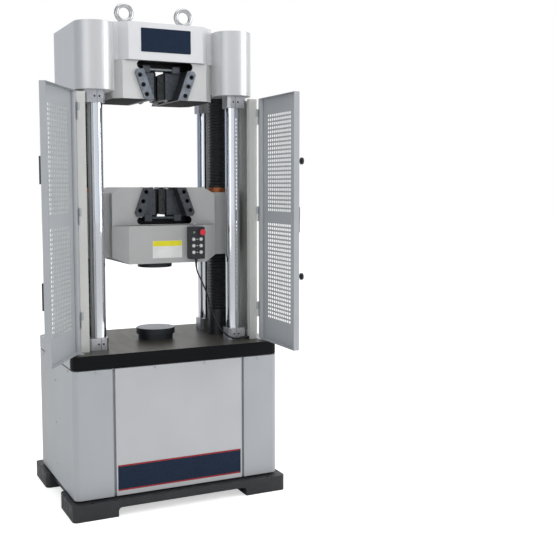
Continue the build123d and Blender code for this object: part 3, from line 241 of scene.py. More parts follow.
def above(tree, start, end):
    """A mask that grows from nothing at one level to one at another."""
    place = add_node(tree, "TexCoord", "Object")
    up = add_node(tree, "SeparateXYZ", "Z", Vector=place)
    return add_node(tree, "MapRange", Value=up, From_Min=start, From_Max=end)


def coated(tree, colour, cloud, grain, depth_mm, strength, edge_mm=None, wear_and_highlight=None, **surface):
    """What most finishes share: a clouded colour, a fine relief, and edges that are rounded, and made
    lighter, partly as wear and partly as a painted edge highlight, if a factor for that is given. Cloud and
    grain hold the further values for clouded and noise."""
    base = clouded(tree, colour, *cloud)
    height = noise(tree, *grain)
    rounded = {}
    if wear_and_highlight:
        base, rounded["Normal"] = worn_and_highlit(tree, base, colour, wear_and_highlight, edge_mm)
    elif edge_mm:
        rounded["Normal"] = add_node(tree, "Bevel", Radius=edge_mm * MM, samples=4)
    normal = add_node(tree, "Bump", Height=height, Distance=depth_mm * MM, Strength=strength, **rounded)
    return {"Base_Color": base, "Normal": normal, **surface}


# Orange peel, flake, weave, moulded grain and tool marks are a few times finer on real surfaces. They are
# drawn as coarse as they need to be to show


def powder_coat(tree, colour, roughness=0.42, grain_mm=1.6, coat=0.0):
    """Polyester powder coat on sheet steel: an even colour with a faint orange peel."""
    return coated(tree, colour, (0.97, 1.02, 240, 2.0, (0.35, 0.65)), (grain_mm,), 0.05, 1.0, 1.2,
                  Roughness=roughness, Coat_Weight=coat, Coat_Roughness=0.12)


def guard_coat(tree, colour, skirt_colour, table_z):
    """Light powder coat of the guards. Their skirts round the worktable match the cabinet."""
    coat = powder_coat(tree, colour, 0.38)
    over = above(tree, table_z + 2 * MM, table_z + 3 * MM)
    light = coat["Base_Color"]
    coat["Base_Color"] = add_node(tree, "Mix", data_type="RGBA", Factor=over, A=skirt_colour, B=light)
    return coat


def gloss_silver(tree, colour):
    """Silver enamel under clear lacquer: metal flake that draws long vertical reflections."""
    return coated(tree, colour, (0.95, 1.04, 0.9, 1.0), (16, 2.0, (1, 1, 0.03)), 0.9, 0.6, 1.5,
                  Metallic=0.45, Roughness=0.38, Coat_Weight=0.2, Coat_Roughness=0.08)


def crosshead_paint(tree, colour):
    """Two-pack paint over a filled steel casting: satin, slowly uneven, with brighter edges that are partly
    wear and partly a painted highlight. The underside is painted near black as painted shade, and is made
    rough."""
    # Faces that look down get a near-black colour, which is painted shade, and a rough surface
    true = add_node(tree, "NewGeometry", "True Normal")
    up = add_node(tree, "SeparateXYZ", "Z", Vector=true)
    down = add_node(tree, "MapRange", Value=up, From_Min=-0.8, From_Max=-0.95)
    rough = add_node(tree, "MapRange", Value=down, To_Min=0.34, To_Max=1.0)
    paint = coated(tree, colour, (0.95, 1.03, 130, 3.0), (22, 3.0), 0.3, 0.6, 2.0, 1.25, Roughness=rough)
    # The near-black colour of the underside is painted shade
    satin, painted_underside_shade = paint["Base_Color"], shade(colour, 0.03)
    paint["Base_Color"] = add_node(tree, "Mix", data_type="RGBA", Factor=down, A=satin, B=painted_underside_shade)
    return paint


def hammered_black(tree, colour):
    """Hammer-finish paint on cast iron: black, pebbled, with dull edges made lighter, partly as wear and
    partly as a painted highlight.
    """
    place = add_node(tree, "TexCoord", "Object")
    cells = add_node(tree, "TexVoronoi", "Distance", Vector=place, Scale=1 / (5 * MM))
    dusty = clouded(tree, colour, 1.0, 1.5, 90, 4.0, (0.45, 0.75))
    painted, normal = worn_and_highlit(tree, dusty, colour, 2.2, 3.0)
    return {
        "Base_Color": painted,
        "Roughness": noise(tree, 30, span=(0.3, 0.7), to=(0.4, 0.6)),
        "Normal": add_node(tree, "Bump", Height=cells, Distance=0.4 * MM, Strength=0.7, Normal=normal),
    }


def worktable_steel(tree, top_colour, side_colour, top_z):
    """Ground steel top under a film of oil, and black painted sides. The grinding runs front to back."""
    is_top = above(tree, top_z - 0.4 * MM, top_z - 0.1 * MM)
    grinding = (3.0, 3.0, (1, 0.02, 1))
    steel = coated(tree, top_colour, (0.8, 1.1, 160, 4.0, (0.35, 0.65)), grinding, 0.02, 0.5, 1.5,
                   Specular_IOR_Level=0.1)
    streaks = noise(tree, *grinding, (0.35, 0.65), (0.0, 0.35))
    oiled, bright = steel["Base_Color"], shade(top_colour, 1.35)
    top = add_node(tree, "Mix", data_type="RGBA", Factor=streaks, A=oiled, B=bright)
    top_rough = noise(tree, *grinding, (0.3, 0.7), (0.3, 0.44))
    steel["Base_Color"] = add_node(tree, "Mix", data_type="RGBA", Factor=is_top, A=side_colour, B=top)
    steel["Roughness"] = add_node(tree, "Mix", Factor=is_top, A=0.5, B=top_rough)
    steel["Metallic"] = add_node(tree, "MapRange", Value=is_top, To_Max=0.25)
    return steel


def hard_chrome(tree):
    """Ground and hard-chromed steel: a mirror with faint rings from the grinding."""
    rings = (2.0, 2.0, (0.05, 0.05, 1))
    return {
        "Base_Color": linear("E6E9EE"),
        "Metallic": 1.0,
        "Roughness": noise(tree, *rings, (0.3, 0.7), (0.03, 0.09)),
        "Normal": add_node(tree, "Bump", Height=noise(tree, *rings), Distance=0.004 * MM, Strength=0.4),
    }


def milled_steel(tree, colour, roughness=0.34, direction=(1, 1, 0.04)):
    """Milled steel with a nickel finish: bright metal with fine tool marks in one direction."""
    marks = (1.4, 3.0, direction)
    rough = noise(tree, *marks, (0.3, 0.7), (roughness - 0.08, roughness + 0.1))
    return coated(tree, colour, (0.88, 1.05, 25, 3.0), marks, 0.02, 0.5, 1.0, 1.3,
                  Metallic=0.85, Roughness=rough)


def black_oxide(tree, colour, roughness=0.42):
    """Black oxide on ground steel: dark grey satin, mottled, with bright edges, partly rubbed and partly a
    painted highlight.
    """
    rough = noise(tree, 14, 4.0, span=(0.3, 0.7), to=(roughness - 0.1, roughness + 0.12))
    return coated(tree, colour, (0.75, 1.25, 14, 4.0), (1.2, 3.0, (1, 1, 0.06)), 0.03, 0.6, 1.0, 2.6,
                  Metallic=0.6, Roughness=rough)


def platen_steel(tree, colour, face_colour, face_z):
    """Black oxide platen. Its working face is ground bright, with centring rings scribed every 15 mm."""
    face = above(tree, face_z - 0.6 * MM, face_z - 0.2 * MM)
    place = add_node(tree, "TexCoord", "Object")
    rings, scribed = (
        add_node(tree, "TexWave", "Fac", Vector=place, Scale=WAVE / (pitch * MM), Distortion=bend,
                 wave_type="RINGS", rings_direction="Z")
        for pitch, bend in ((3, 0.4), (15, 0.0))
    )
    dull, bright, line = (shade(face_colour, factor) for factor in (0.85, 1.1, 0.35))
    ground = add_node(tree, "Mix", data_type="RGBA", Factor=rings, A=dull, B=bright)
    scribed = add_node(tree, "MapRange", Value=scribed, From_Min=0.96, From_Max=0.99)
    ground = add_node(tree, "Mix", data_type="RGBA", Factor=scribed, A=ground, B=line)
    oxide, normal = worn_and_highlit(tree, colour, colour, 2.2, 1.0)
    return {
        "Base_Color": add_node(tree, "Mix", data_type="RGBA", Factor=face, A=oxide, B=ground),
        "Metallic": 0.5,
        "Roughness": add_node(tree, "MapRange", Value=face, To_Min=0.42, To_Max=0.5),
        "Normal": add_node(tree, "Bump", Height=rings, Distance=0.01 * MM, Strength=0.4, Normal=normal),
    }


def jaw_steel(tree, colour, face_half_width=26.6 * MM):
    """Hardened jaw: black oxide outside, and cross-hatched teeth on the face that bites the specimen. The
    face is near black, partly its own dark steel and partly painted shade of the gap between the jaws.
    """
    place = add_node(tree, "TexCoord", "Object")
    across = add_node(tree, "SeparateXYZ", "X", Vector=place)
    across = add_node(tree, "Math", operation="ABSOLUTE", Value=across)
    face = add_node(tree, "MapRange", Value=across, From_Min=face_half_width + MM, From_Max=face_half_width)
    teeth = add_node(tree, "TexWave", "Fac", Vector=place, Scale=WAVE / (2.5 * MM), Distortion=0.0,
                     bands_direction="DIAGONAL", wave_profile="TRI")
    cut = add_node(tree, "Math", operation="MULTIPLY", Value=[face, teeth])
    oxide = clouded(tree, colour, 0.8, 1.3, 12, 4.0)
    # The toothed face gets a near-black colour: partly the teeth's own dark and partly painted shade of the
    # gap between the jaws
    oxide = add_node(tree, "Mix", data_type="RGBA", Factor=face, A=oxide, B=shade(colour, 0.12))
    metal, normal = worn_and_highlit(tree, oxide, colour, 2.4, 0.8)
    return {
        "Base_Color": metal,
        "Metallic": 0.6,
        "Roughness": noise(tree, 12, 4.0, span=(0.3, 0.7), to=(0.3, 0.5)),
        "Normal": add_node(tree, "Bump", Height=cut, Distance=MM, Strength=1.0, Normal=normal),
    }


def cast_bronze(tree, colour):
    """Turned bronze: warm metal, darker where it has tarnished."""
    return coated(tree, colour, (1.0, 0.6, 18, 4.0, (0.4, 0.7)), (1.2, 2.0, (0.1, 0.1, 1)), 0.02, 0.5, 0.8,
                  Metallic=0.75, Roughness=0.38)


def coated_cloth(tree, colour):
    """Polyurethane-coated cloth: near black, with the weave just showing and a rubbed bloom."""
    return coated(tree, colour, (1.0, 1.7, 20, 3.0, (0.4, 0.75)), (0.8, 1.0), 0.08, 0.6,
                  Roughness=0.55, Sheen_Weight=0.15)


def moulded_plastic(tree, colour, roughness=0.4):
    """Moulded ABS with a fine spark-eroded grain."""
    rough = noise(tree, 0.5, span=(0.3, 0.7), to=(roughness - 0.05, roughness + 0.06))
    return coated(tree, colour, (0.92, 1.1, 30), (0.5,), 0.03, 0.6, 0.8, IOR=1.53, Roughness=rough)


def enamel(tree, colour, roughness=0.25, gloss=0.5):
    """Screen-printed enamel on thin sheet: flat, smooth and slightly uneven."""
    return {
        "Base_Color": clouded(tree, colour, 0.93, 1.06, 45),
        "IOR": 1.5,
        "Specular_IOR_Level": gloss,
        "Roughness": noise(tree, 4, span=(0.3, 0.7), to=(roughness - 0.06, roughness + 0.08)),
    }


def cord_sheath(tree, colour):
    """Extruded rubber sheath: dull black, unevenly worn, with a fine grain."""
    return coated(tree, colour, (1.0, 1.8, 8, 3.0, (0.4, 0.7)), (0.8,), 0.03, 0.5, Roughness=0.5)


def floor_board(tree):
    """White studio board, which also glows faintly to the camera and so stays an even white."""
    seen = add_node(tree, "LightPath", "Is Camera Ray")
    return {
        "Base_Color": linear("F4F4F4"),
        "Roughness": 0.9,
        "Emission_Color": (1, 1, 1, 1),
        "Emission_Strength": add_node(tree, "Math", operation="MULTIPLY", Value=[seen, 0.55]),
    }


# Mesh pieces


def edges_of(verts):
    """The edges at these vertices, each of them once."""
    return list(dict.fromkeys(edge for vert in verts for edge in vert.link_edges))


def ring(bm, place, radius, height, count):
    """A circle of edges at a height along the place's Z axis."""
    matrix = place @ Matrix.Translation((0, 0, height))
    made = bmesh.ops.create_circle(bm, cap_ends=False, segments=count, radius=radius, matrix=matrix)
    return edges_of(made["verts"])


def turned(bm, place, profile, count=24, capped=True):
    """Rings of (radius, height) or (radius, height, sides) in millimetres, bridged one to the next. The ends
    are capped, or else the last ring is bridged to the first."""
    loops = []
    for radius, height, *sides in profile:
        loops.append(ring(bm, place, radius * MM, height * MM, sides[0] if sides else count))
    for first, second in zip(loops, loops[1:] + ([] if capped else loops[:1])):
        bmesh.ops.bridge_loops(bm, edges=first + second)
    if capped:
        for end in (loops[0], loops[-1]):
            bmesh.ops.edgeloop_fill(bm, edges=end)


def block(bm, place, size, bevel=0.0):
    """A box centred on place, with bevelled edges if a bevel is given."""
    made = bmesh.ops.create_cube(bm, size=1.0, matrix=place @ Matrix.Diagonal((*size, 1.0)))
    if bevel:
        bmesh.ops.bevel(bm, geom=edges_of(made["verts"]), offset=bevel, segments=2, affect="EDGES",
                        profile=0.5, material=-1)


def sheet_plate(bm, place, width, height, thickness, corner=0.0):
    """A thin plate that stands on place, facing its Z axis, with rounded corners if a radius is given."""
    matrix = place @ Matrix.Diagonal((width, height, 1.0, 1.0))
    made = bmesh.ops.create_grid(bm, x_segments=1, y_segments=1, size=0.5, matrix=matrix)
    if corner:
        bmesh.ops.bevel(bm, geom=list(made["verts"]), offset=corner, segments=5, affect="VERTICES",
                        profile=0.5, material=-1)
    face = min(bm.faces, key=lambda f: (f.calc_center_median() - place.translation).length)
    made = bmesh.ops.extrude_face_region(bm, geom=[face])
    lifted = [item for item in made["geom"] if isinstance(item, bmesh.types.BMVert)]
    bmesh.ops.translate(bm, verts=lifted, vec=place.to_3x3() @ Vector(UP) * thickness)


def facing(point, direction):
    """A place at point whose Z axis points along direction."""
    across = Vector(direction).to_track_quat("Z", "Y").to_matrix().to_4x4()
    return Matrix.Translation(point) @ across


def finish_piece(bm, name, material, body, smooth_angle=35):
    """Makes the bmesh an object with the named material, riding on a body if one is given."""
    bmesh.ops.remove_doubles(bm, verts=bm.verts, dist=0.01 * MM)
    bmesh.ops.recalc_face_normals(bm, faces=bm.faces)
    mesh = bpy.data.meshes.new(name)
    bm.to_mesh(mesh)
    bm.free()
    mesh.materials.append(bpy.data.materials[material])
    piece = bpy.data.objects.new(name, mesh)
    bpy.context.collection.objects.link(piece)
    for face in mesh.polygons:
        face.use_smooth = True
    mesh.set_sharp_from_angle(angle=radians(smooth_angle))
    if body:
        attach(piece, body)
    return piece


def pan_screw(bm, place, radius):
    """Pan-head panel screw with a hexagonal recess."""
    r = radius / MM
    profile = [(r, 0), (r, r * 0.25), (r * 0.85, r * 0.48), (r * 0.5, r * 0.6), (r * 0.45, r * 0.6, 6),
               (r * 0.45, r * 0.2, 6)]
    turned(bm, place, profile, 18)


def socket_screw(bm, place, radius, head):
    """Socket-head screw with a chamfered rim and a head this high in millimetres."""
    r = radius / MM
    profile = [(r, 0), (r, head * 0.85), (r * 0.9, head), (r * 0.6, head), (r * 0.58, head, 6),
               (r * 0.58, head * 0.45, 6)]
    turned(bm, place, profile, 20)


# Operators


class MACHINE_OT_stage(bpy.types.Operator):
    """Pale floor, soft studio light and the camera"""

    bl_idname = "machine.stage"
    bl_label = "Stage"

    # Name, place, turn in degrees, and side in metres
    lamps = (
        ("key_light", (4.4, -3.0, 2.4), (74, 0, 56), 3.0),
        ("fill_light", (-4.4, -2.6, 2.2), (76, 0, -60), 3.0),
        ("top_light", (0.0, -0.6, 4.6), (0, 0, 0), 3.2),
    )
    # Bright walls and darker gaps that the metal mirrors, by how far round the room they stand
    walls = (
        (0.0, "E8EBF0"), (0.17, "F0F2F5"), (0.24, "59606E"), (0.31, "8E96A3"), (0.37, "F4F6F9"),
        (0.54, "FFFFFF"), (0.62, "C3CAD5"), (0.7, "7C889A"), (0.86, "8C97A8"), (1.0, "D5DAE2"),
    )
    walls_turn = -63
    floor_reach = 30

    def execute(self, context):
        studio = context.scene.machine_studio
        self.floor()
        self.room(studio.room_light)
        for name, place, turn, size in self.lamps:
            lamp = bpy.data.lights.new(name, "AREA")
            lamp.shape = "SQUARE"
            lamp.size = size
            lamp.energy = getattr(studio, name.replace("light", "power"))
            holder = bpy.data.objects.new(name, lamp)
            holder.location = place
            holder.rotation_euler = [radians(angle) for angle in turn]
            context.collection.objects.link(holder)
        lens = bpy.data.cameras.new("camera")
        lens.sensor_width = 36
        lens.lens = studio.lens
        camera = bpy.data.objects.new("camera", lens)
        camera.location = studio.camera_place
        camera.rotation_euler = studio.camera_turn
        context.collection.objects.link(camera)
        context.scene.camera = camera
        context.scene.view_settings.view_transform = "Standard"
        return {"FINISHED"}

    def floor(self):
        bm = bmesh.new()
        bmesh.ops.create_grid(bm, x_segments=1, y_segments=1, size=self.floor_reach)
        mesh = bpy.data.meshes.new("floor")
        bm.to_mesh(mesh)
        bm.free()
        floor = bpy.data.objects.new("floor", mesh)
        bpy.context.collection.objects.link(floor)
        mesh.materials.append(new_material("white_floor", floor_board))

    def room(self, soft):
        world = bpy.data.worlds.new("studio")
        bpy.context.scene.world = world
        world.use_nodes = True
        tree = world.node_tree
        camera, glossy, clear = (
            add_node(tree, "LightPath", f"Is {ray} Ray") for ray in ("Camera", "Glossy", "Transmission")
        )
        direction = add_node(tree, "TexCoord", "Generated")
        direction = add_node(tree, "Mapping", Vector=direction, Rotation=(0, 0, radians(self.walls_turn)))
        angle = add_node(tree, "TexGradient", "Fac", gradient_type="RADIAL", Vector=direction)
        mirrored = add_node(tree, "ValToRGB", Fac=angle)
        stops = mirrored.node.color_ramp.elements
        for position, code in self.walls:
            stop = stops.new(position) if 0 < position < 1 else stops[int(position)]
            stop.color = linear(code)
        seen = add_node(tree, "Math", operation="MAXIMUM", Value=[glossy, camera])
        seen = add_node(tree, "Math", operation="MAXIMUM", Value=[seen, clear])
        level = add_node(tree, "MapRange", Value=seen, To_Min=soft, To_Max=1.0)
        shown = add_node(tree, "Mix", data_type="RGBA", Factor=glossy, A=(1, 1, 1, 1), B=mirrored)
        plug(tree.nodes["Background"], Color=shown, Strength=level)


class MACHINE_OT_finishes(bpy.types.Operator):
    """Finishes of the parts that come from the frame"""

    bl_idname = "machine.finishes"
    bl_label = "Finishes"

    def execute(self, context):
        c = context.scene.machine_colours
        table_top = high("worktable").z
        platen_face = high("lower_platen").z
        for name, make, values, nodes in (
            ("powder_coated_panel", powder_coat, (c.panel,), "front_panel rear_panel"),
            ("grey_powder_coat", powder_coat, (c.wrap, 0.38),
             "cabinet_frame left_panel right_panel left_door right_door"),
            ("light_powder_coat", guard_coat, (c.guard, c.wrap, table_top),
             "left_side_guard right_side_guard"),
            ("white_powder_coat", powder_coat, (c.head, 0.42, 1.4, 0.1),
             "upper_front_cover upper_rear_cover"),
            ("silver_gloss_enamel", gloss_silver, (c.cover,), "left_side_cover right_side_cover"),
            ("painted_casting", crosshead_paint, (c.casting,),
             "middle_crosshead middle_front_cover middle_rear_cover drive_motor bearing_housings"),
            ("painted_head_casting", crosshead_paint, (shade(c.casting, 1.5),), "upper_crosshead"),
            ("hammered_black_paint", hammered_black, (c.base,), "base_plate"),
            ("ground_table_steel", worktable_steel, (c.table, shade(c.base, 0.35), table_top), "worktable"),
            ("hard_chrome", hard_chrome, (), "columns piston"),
            ("nickel_plated_steel", milled_steel, (linear("BFC0C3"),),
             "column_collars column_nuts port_block"),
            ("drop_forged_steel", milled_steel, (linear("C4C4C4"), 0.24, (1, 1, 1)), "eyebolts"),
            ("turned_steel", milled_steel, (linear("9B9DA0"), 0.36, (0.05, 0.05, 1)),
             "left_lead_screw right_lead_screw motor_pinion drive_chain ram_cylinder upper_jaw_bar"),
            ("black_oxide_steel", black_oxide, (c.grip,), "lower_liners upper_liners upper_platen"),
            # Black oxide steel in a lighter shade, for the lower end plates and jaw bar
            ("worn_oxide_steel", black_oxide, (shade(c.grip, 1.7),), "lower_end_plates lower_jaw_bar"),
            ("grey_oxide_steel", black_oxide, (shade(c.grip, 4.8),), "upper_end_plates"),
            ("ground_platen_steel", platen_steel, (c.grip, linear("C2C7CC"), platen_face), "lower_platen"),
            ("hardened_jaw_steel", jaw_steel, (shade(c.grip, 1.7),), "lower_left_jaw lower_right_jaw"),
            ("bright_jaw_steel", jaw_steel, (shade(c.grip, 2.5),), "upper_left_jaw upper_right_jaw"),
            ("turned_bronze", cast_bronze, (c.copper,), "screw_nuts"),
            ("coated_bellows_cloth", coated_cloth, (c.bellows,), ""),
            ("moulded_black_abs", moulded_plastic, (c.plastic,),
             "pendant_housing bellows_sleeves cord_gland left_door_handle right_door_handle"),
            ("moulded_button_white", moulded_plastic, (linear("E4E4E4"), 0.3),
             "button_1 button_2 button_3 button_4 button_5 button_6"),
            ("moulded_stop_red", moulded_plastic, (c.stop, 0.28), "emergency_stop"),
            ("extruded_cord_rubber", cord_sheath, (shade(c.plastic, 0.8),), ""),
            ("navy_enamel", enamel, (c.nameplate, 0.3, 0.15), ""),
            ("red_enamel", enamel, (c.line,), ""),
            ("yellow_enamel", enamel, (c.notice_head, 0.35), ""),
            ("white_enamel", enamel, (c.notice_body, 0.4), ""),
            ("green_lens", enamel, (linear("3FB56A"), 0.2), ""),
            ("black_screw_steel", black_oxide, (linear("1B1C1E"), 0.4), ""),
        ):
            material = new_material(name, make, *values)
            for node in nodes.split():
                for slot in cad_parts[node].material_slots:
                    slot.material = material
        return {"FINISHED"}


class MACHINE_OT_cord(bpy.types.Operator):
    """Cord of the hand control, with its strain reliefs"""

    bl_idname = "machine.cord"
    bl_label = "Cord"

    # The same points as the CAD tube's route, in millimetres
    route = (
        (127, -216, 1085), (127, -216, 1050), (146, -219, 1010), (170, -223, 955), (189, -226, 895),
        (204, -229, 838), (228, -233, 784), (262, -237, 741), (300, -239, 719), (334, -236, 715),
        (355, -232, 719), (374, -232, 719),
    )
    # Strain relief: collar, ribs that get smaller, and a thin end, as radius and height in millimetres
    collar = [(5.8, 0), (5.8, 4)]
    thin_end = [(3.9, 24), (3.55, 24)]
    ribs, first_rib, rib_pitch = 5, 5, 3.6

    def execute(self, context):
        thick = settings().cord
        curve = bpy.data.curves.new("cord_line", "CURVE")
        curve.dimensions = "3D"
        spline = curve.splines.new("NURBS")
        spline.points.add(len(self.route) - 1)
        for point, place in zip(spline.points, self.route):
            point.co = (*(Vector(place) * MM), 1)
        spline.order_u = 3
        spline.use_endpoint_u = True
        spline.resolution_u = 16
        line = bpy.data.objects.new("cord_line", curve)
        context.collection.objects.link(line)
        plain = bpy.data.meshes.new_from_object(line)
        path = [tuple(vert.co) for vert in plain.vertices]
        curve.bevel_depth = thick / 2
        curve.bevel_resolution = 5
        curve.use_fill_caps = True
        mesh = bpy.data.meshes.new_from_object(line)
        bpy.data.objects.remove(line)
        bm = bmesh.new()
        bm.from_mesh(mesh)
        cord = finish_piece(bm, "control_cord", "extruded_cord_rubber", None, 60)
        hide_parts("pendant_cord")
        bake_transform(cord)
        start, end = Vector(path[0]), Vector(path[-1])
        for name, place, body in (
            ("cord_relief_control", facing(start + Vector((0, 0, 2 * MM)), (0, 0, -1)), "middle_crosshead"),
            ("cord_relief_post", facing(end + Vector((2 * MM, 0, 0)), (-1, 0, 0)), "moving_frame"),
        ):
            bm = bmesh.new()
            turned(bm, place, self.relief(), 20)
            finish_piece(bm, name, "moulded_black_abs", body)
        return {"FINISHED"}

    def relief(self):
        profile = list(self.collar)
        for rib in range(self.ribs):
            foot = self.first_rib + rib * self.rib_pitch
            outer, inner = 5.2 - rib * 0.25, 4.2 - rib * 0.1
            profile += [(outer, foot), (outer, foot + 1.8), (inner, foot + 2.2)]
        return profile + self.thin_end


class MACHINE_OT_bellows(bpy.types.Operator):
    """Pleated bellows round the lead screws"""

    bl_idname = "machine.bellows"
    bl_label = "Bellows"

    # In millimetres
    outer_radius = 45
    cuff = 11
    wall = 2.5
    crest_round = 0.7
    sides = 40

    def execute(self, context):
        for name, fixed, moving in (("upper_bellows", high, low), ("lower_bellows", low, high)):
            bm = bmesh.new()
            for side in (-1, 1):
                x = side * (high(name).x - self.outer_radius * MM)
                self.sleeve(bm, x, low(name).z, high(name).z, name == "upper_bellows")
            piece = finish_piece(bm, f"pleated_{name}", "coated_bellows_cloth", None, 50)
            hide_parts(name)
            start, end = (0, 0, fixed(name).z), (0, 0, moving(name).z)
            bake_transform(piece)
        return {"FINISHED"}

    def sleeve(self, bm, x, bottom, top, capped):
        tip, root = settings().bellows_tip / MM, settings().bellows_root / MM
        crest = tip - self.crest_round
        length = (top - bottom) / MM
        pleated = length - 2 * self.cuff
        count = round(pleated / (settings().pleat / MM))
        profile = [(tip, 0), (tip, self.cuff)]
        for fold in range(count):
            for radius, part in ((root, 0.08), (crest, 0.42), (tip, 0.5), (crest, 0.58), (root, 0.92)):
                profile.append((radius, self.cuff + (fold + part) * pleated / count))
        profile += [(tip, length - self.cuff), (tip, length)]
        if not capped:
            profile += [(root - self.wall, length), (root - self.wall, 0)]
        turned(bm, Matrix.Translation((x, 0, bottom)), profile, self.sides, capped)


class MACHINE_OT_panel_screws(bpy.types.Operator):
    """Screws of the cabinet panels and covers"""

    bl_idname = "machine.panel_screws"
    bl_label = "Panel screws"

    # Millimetres along and below the top of the front, back and up on the sides, and across the head
    front_places = ((-385, 11), (-117, 9), (117, 9), (385, 11))
    side_places = ((-237, 633), (-49, 636), (0, 549), (0, 352), (0, 159), (237, 633))
    head_places = ((-190, -120), (190, -120), (-190, 120), (190, 120))
    head_radius, head_sunk = 4, 2

    def execute(self, context):
        radius = settings().panel_screw
        front = low("front_panel").y
        side = high("right_panel").x
        top = high("front_panel").z
        bm = bmesh.new()
        for x, drop in self.front_places:
            for y, way in ((front, FRONT), (-front, BACK)):
                pan_screw(bm, facing((x * MM, y, top - drop * MM), way), radius)
        for y, z in self.side_places:
            for way in (-1, 1):
                pan_screw(bm, facing((way * side, y * MM, z * MM), (way, 0, 0)), radius)
        finish_piece(bm, "cabinet_screws", "nickel_plated_steel", "base")

        bm = bmesh.new()
        level = high("upper_front_cover").z - self.head_sunk * MM
        for x, y in self.head_places:
            pan_screw(bm, facing((x * MM, y * MM, level), UP), self.head_radius * MM)
        finish_piece(bm, "head_screws", "nickel_plated_steel", "moving_frame")
        return {"FINISHED"}


class MACHINE_OT_plates(bpy.types.Operator):
    """Blank name plate, edged lower plate and notice plate"""

    bl_idname = "machine.plates"
    bl_label = "Plates"

    # Name, finish, body, slot, the node it is on, and how many plate thicknesses it stands off it. Then in
    # millimetres how far along, levels, width, height and corner radius. Last its thickness, as a part
    plates = (
        ("name_plate", "navy_enamel", "moving_frame", "cover_white", "upper_front_cover", 0,
         0, (2081,), 234, 104, 3, 1),
        ("lower_plate", "navy_enamel", "base", "panel_grey", "front_panel", 0,
         0, (157.5,), 587.5, 115, 0, 1 / 2),
        ("lower_plate_edging", "red_enamel", "base", "panel_grey", "front_panel", 1 / 2,
         0, (103.25, 211.75), 587.5, 6.5, 0, 1 / 4),
        ("notice_plate", "white_enamel", "middle_crosshead", "cover_silver", "middle_front_cover", 0,
         -4.5, (1147.5,), 141, 79, 1, 1 / 2),
        ("notice_heading", "yellow_enamel", "middle_crosshead", "cover_silver", "middle_front_cover", 1 / 2,
         -4.5, (1174,), 137, 24, 0, 1 / 4),
    )

    def execute(self, context):
        thick = settings().plate
        for name, material, body, slot, node, off, x, levels, width, height, corner, part in self.plates:
            bm = bmesh.new()
            for z in levels:
                place = facing((x * MM, low(node).y - off * thick, z * MM), FRONT)
                sheet_plate(bm, place, width * MM, height * MM, part * thick, corner * MM)
            finish_piece(bm, name, material, body)
        return {"FINISHED"}


class MACHINE_OT_grip_screws(bpy.types.Operator):
    """Socket screws of the grip end plates, each with a thin black ring round its head, a painted shade of
    its counterbore
    """

    bl_idname = "machine.grip_screws"
    bl_label = "Grip screws"

    # In millimetres, with the heights from the grip's mouth
    mouth_half_width, from_edge = 56.5, 27
    wedge_angle = 20
    heights = (20.5, 62.5, 104.5)
    sunk, head = 6, 5
    # A thin black ring round each head is painted shade of the counterbore
    counterbore_shade_ring = [(7.4, 5.8), (7.4, 6.5), (10.2, 6.5), (10.2, 5.8)]

    def execute(self, context):
        slope = tan(radians(self.wedge_angle))
        for grip, inward, body in (("upper", 1, "moving_frame"), ("lower", -1, "middle_crosshead")):
            node = f"{grip}_end_plates"
            mouth = (low(node).z if inward > 0 else high(node).z) - inward * 0.5 * MM
            bm = bmesh.new()
            for way in (-1, 1):
                y = way * (high(node).y - self.sunk * MM)
                for side in (-1, 1):
                    for height in self.heights:
                        x = side * (self.mouth_half_width + height * slope + self.from_edge) * MM
                        place = facing((x, y, mouth + inward * height * MM), (0, way, 0))
                        socket_screw(bm, place, settings().plate_screw, self.head)
                        turned(bm, place, self.counterbore_shade_ring, 28, capped=False)
            finish_piece(bm, f"{grip}_plate_screws", "black_screw_steel", body)
        return {"FINISHED"}


class MACHINE_OT_collar_screws(bpy.types.Operator):
    """Clamp screws of the column collars"""

    bl_idname = "machine.collar_screws"
    bl_label = "Collar screws"

    # In millimetres
    collar_radius, from_end = 55, 27
    apart, sunk, head = 11, 5, 3

    def execute(self, context):
        node = "column_collars"
        column = high(node).x - self.collar_radius * MM
        bm = bmesh.new()
        for way in (-1, 1):
            y = way * (high(node).y - self.sunk * MM)
            for x in (-column, column):
                for z in (low(node).z + self.from_end * MM, high(node).z - self.from_end * MM):
                    for shift in (-self.apart, self.apart):
                        place = facing((x + shift * MM, y, z), (0, way, 0))
                        socket_screw(bm, place, settings().collar_screw, self.head)
        finish_piece(bm, "collar_screws", "black_screw_steel", "moving_frame")
        return {"FINISHED"}


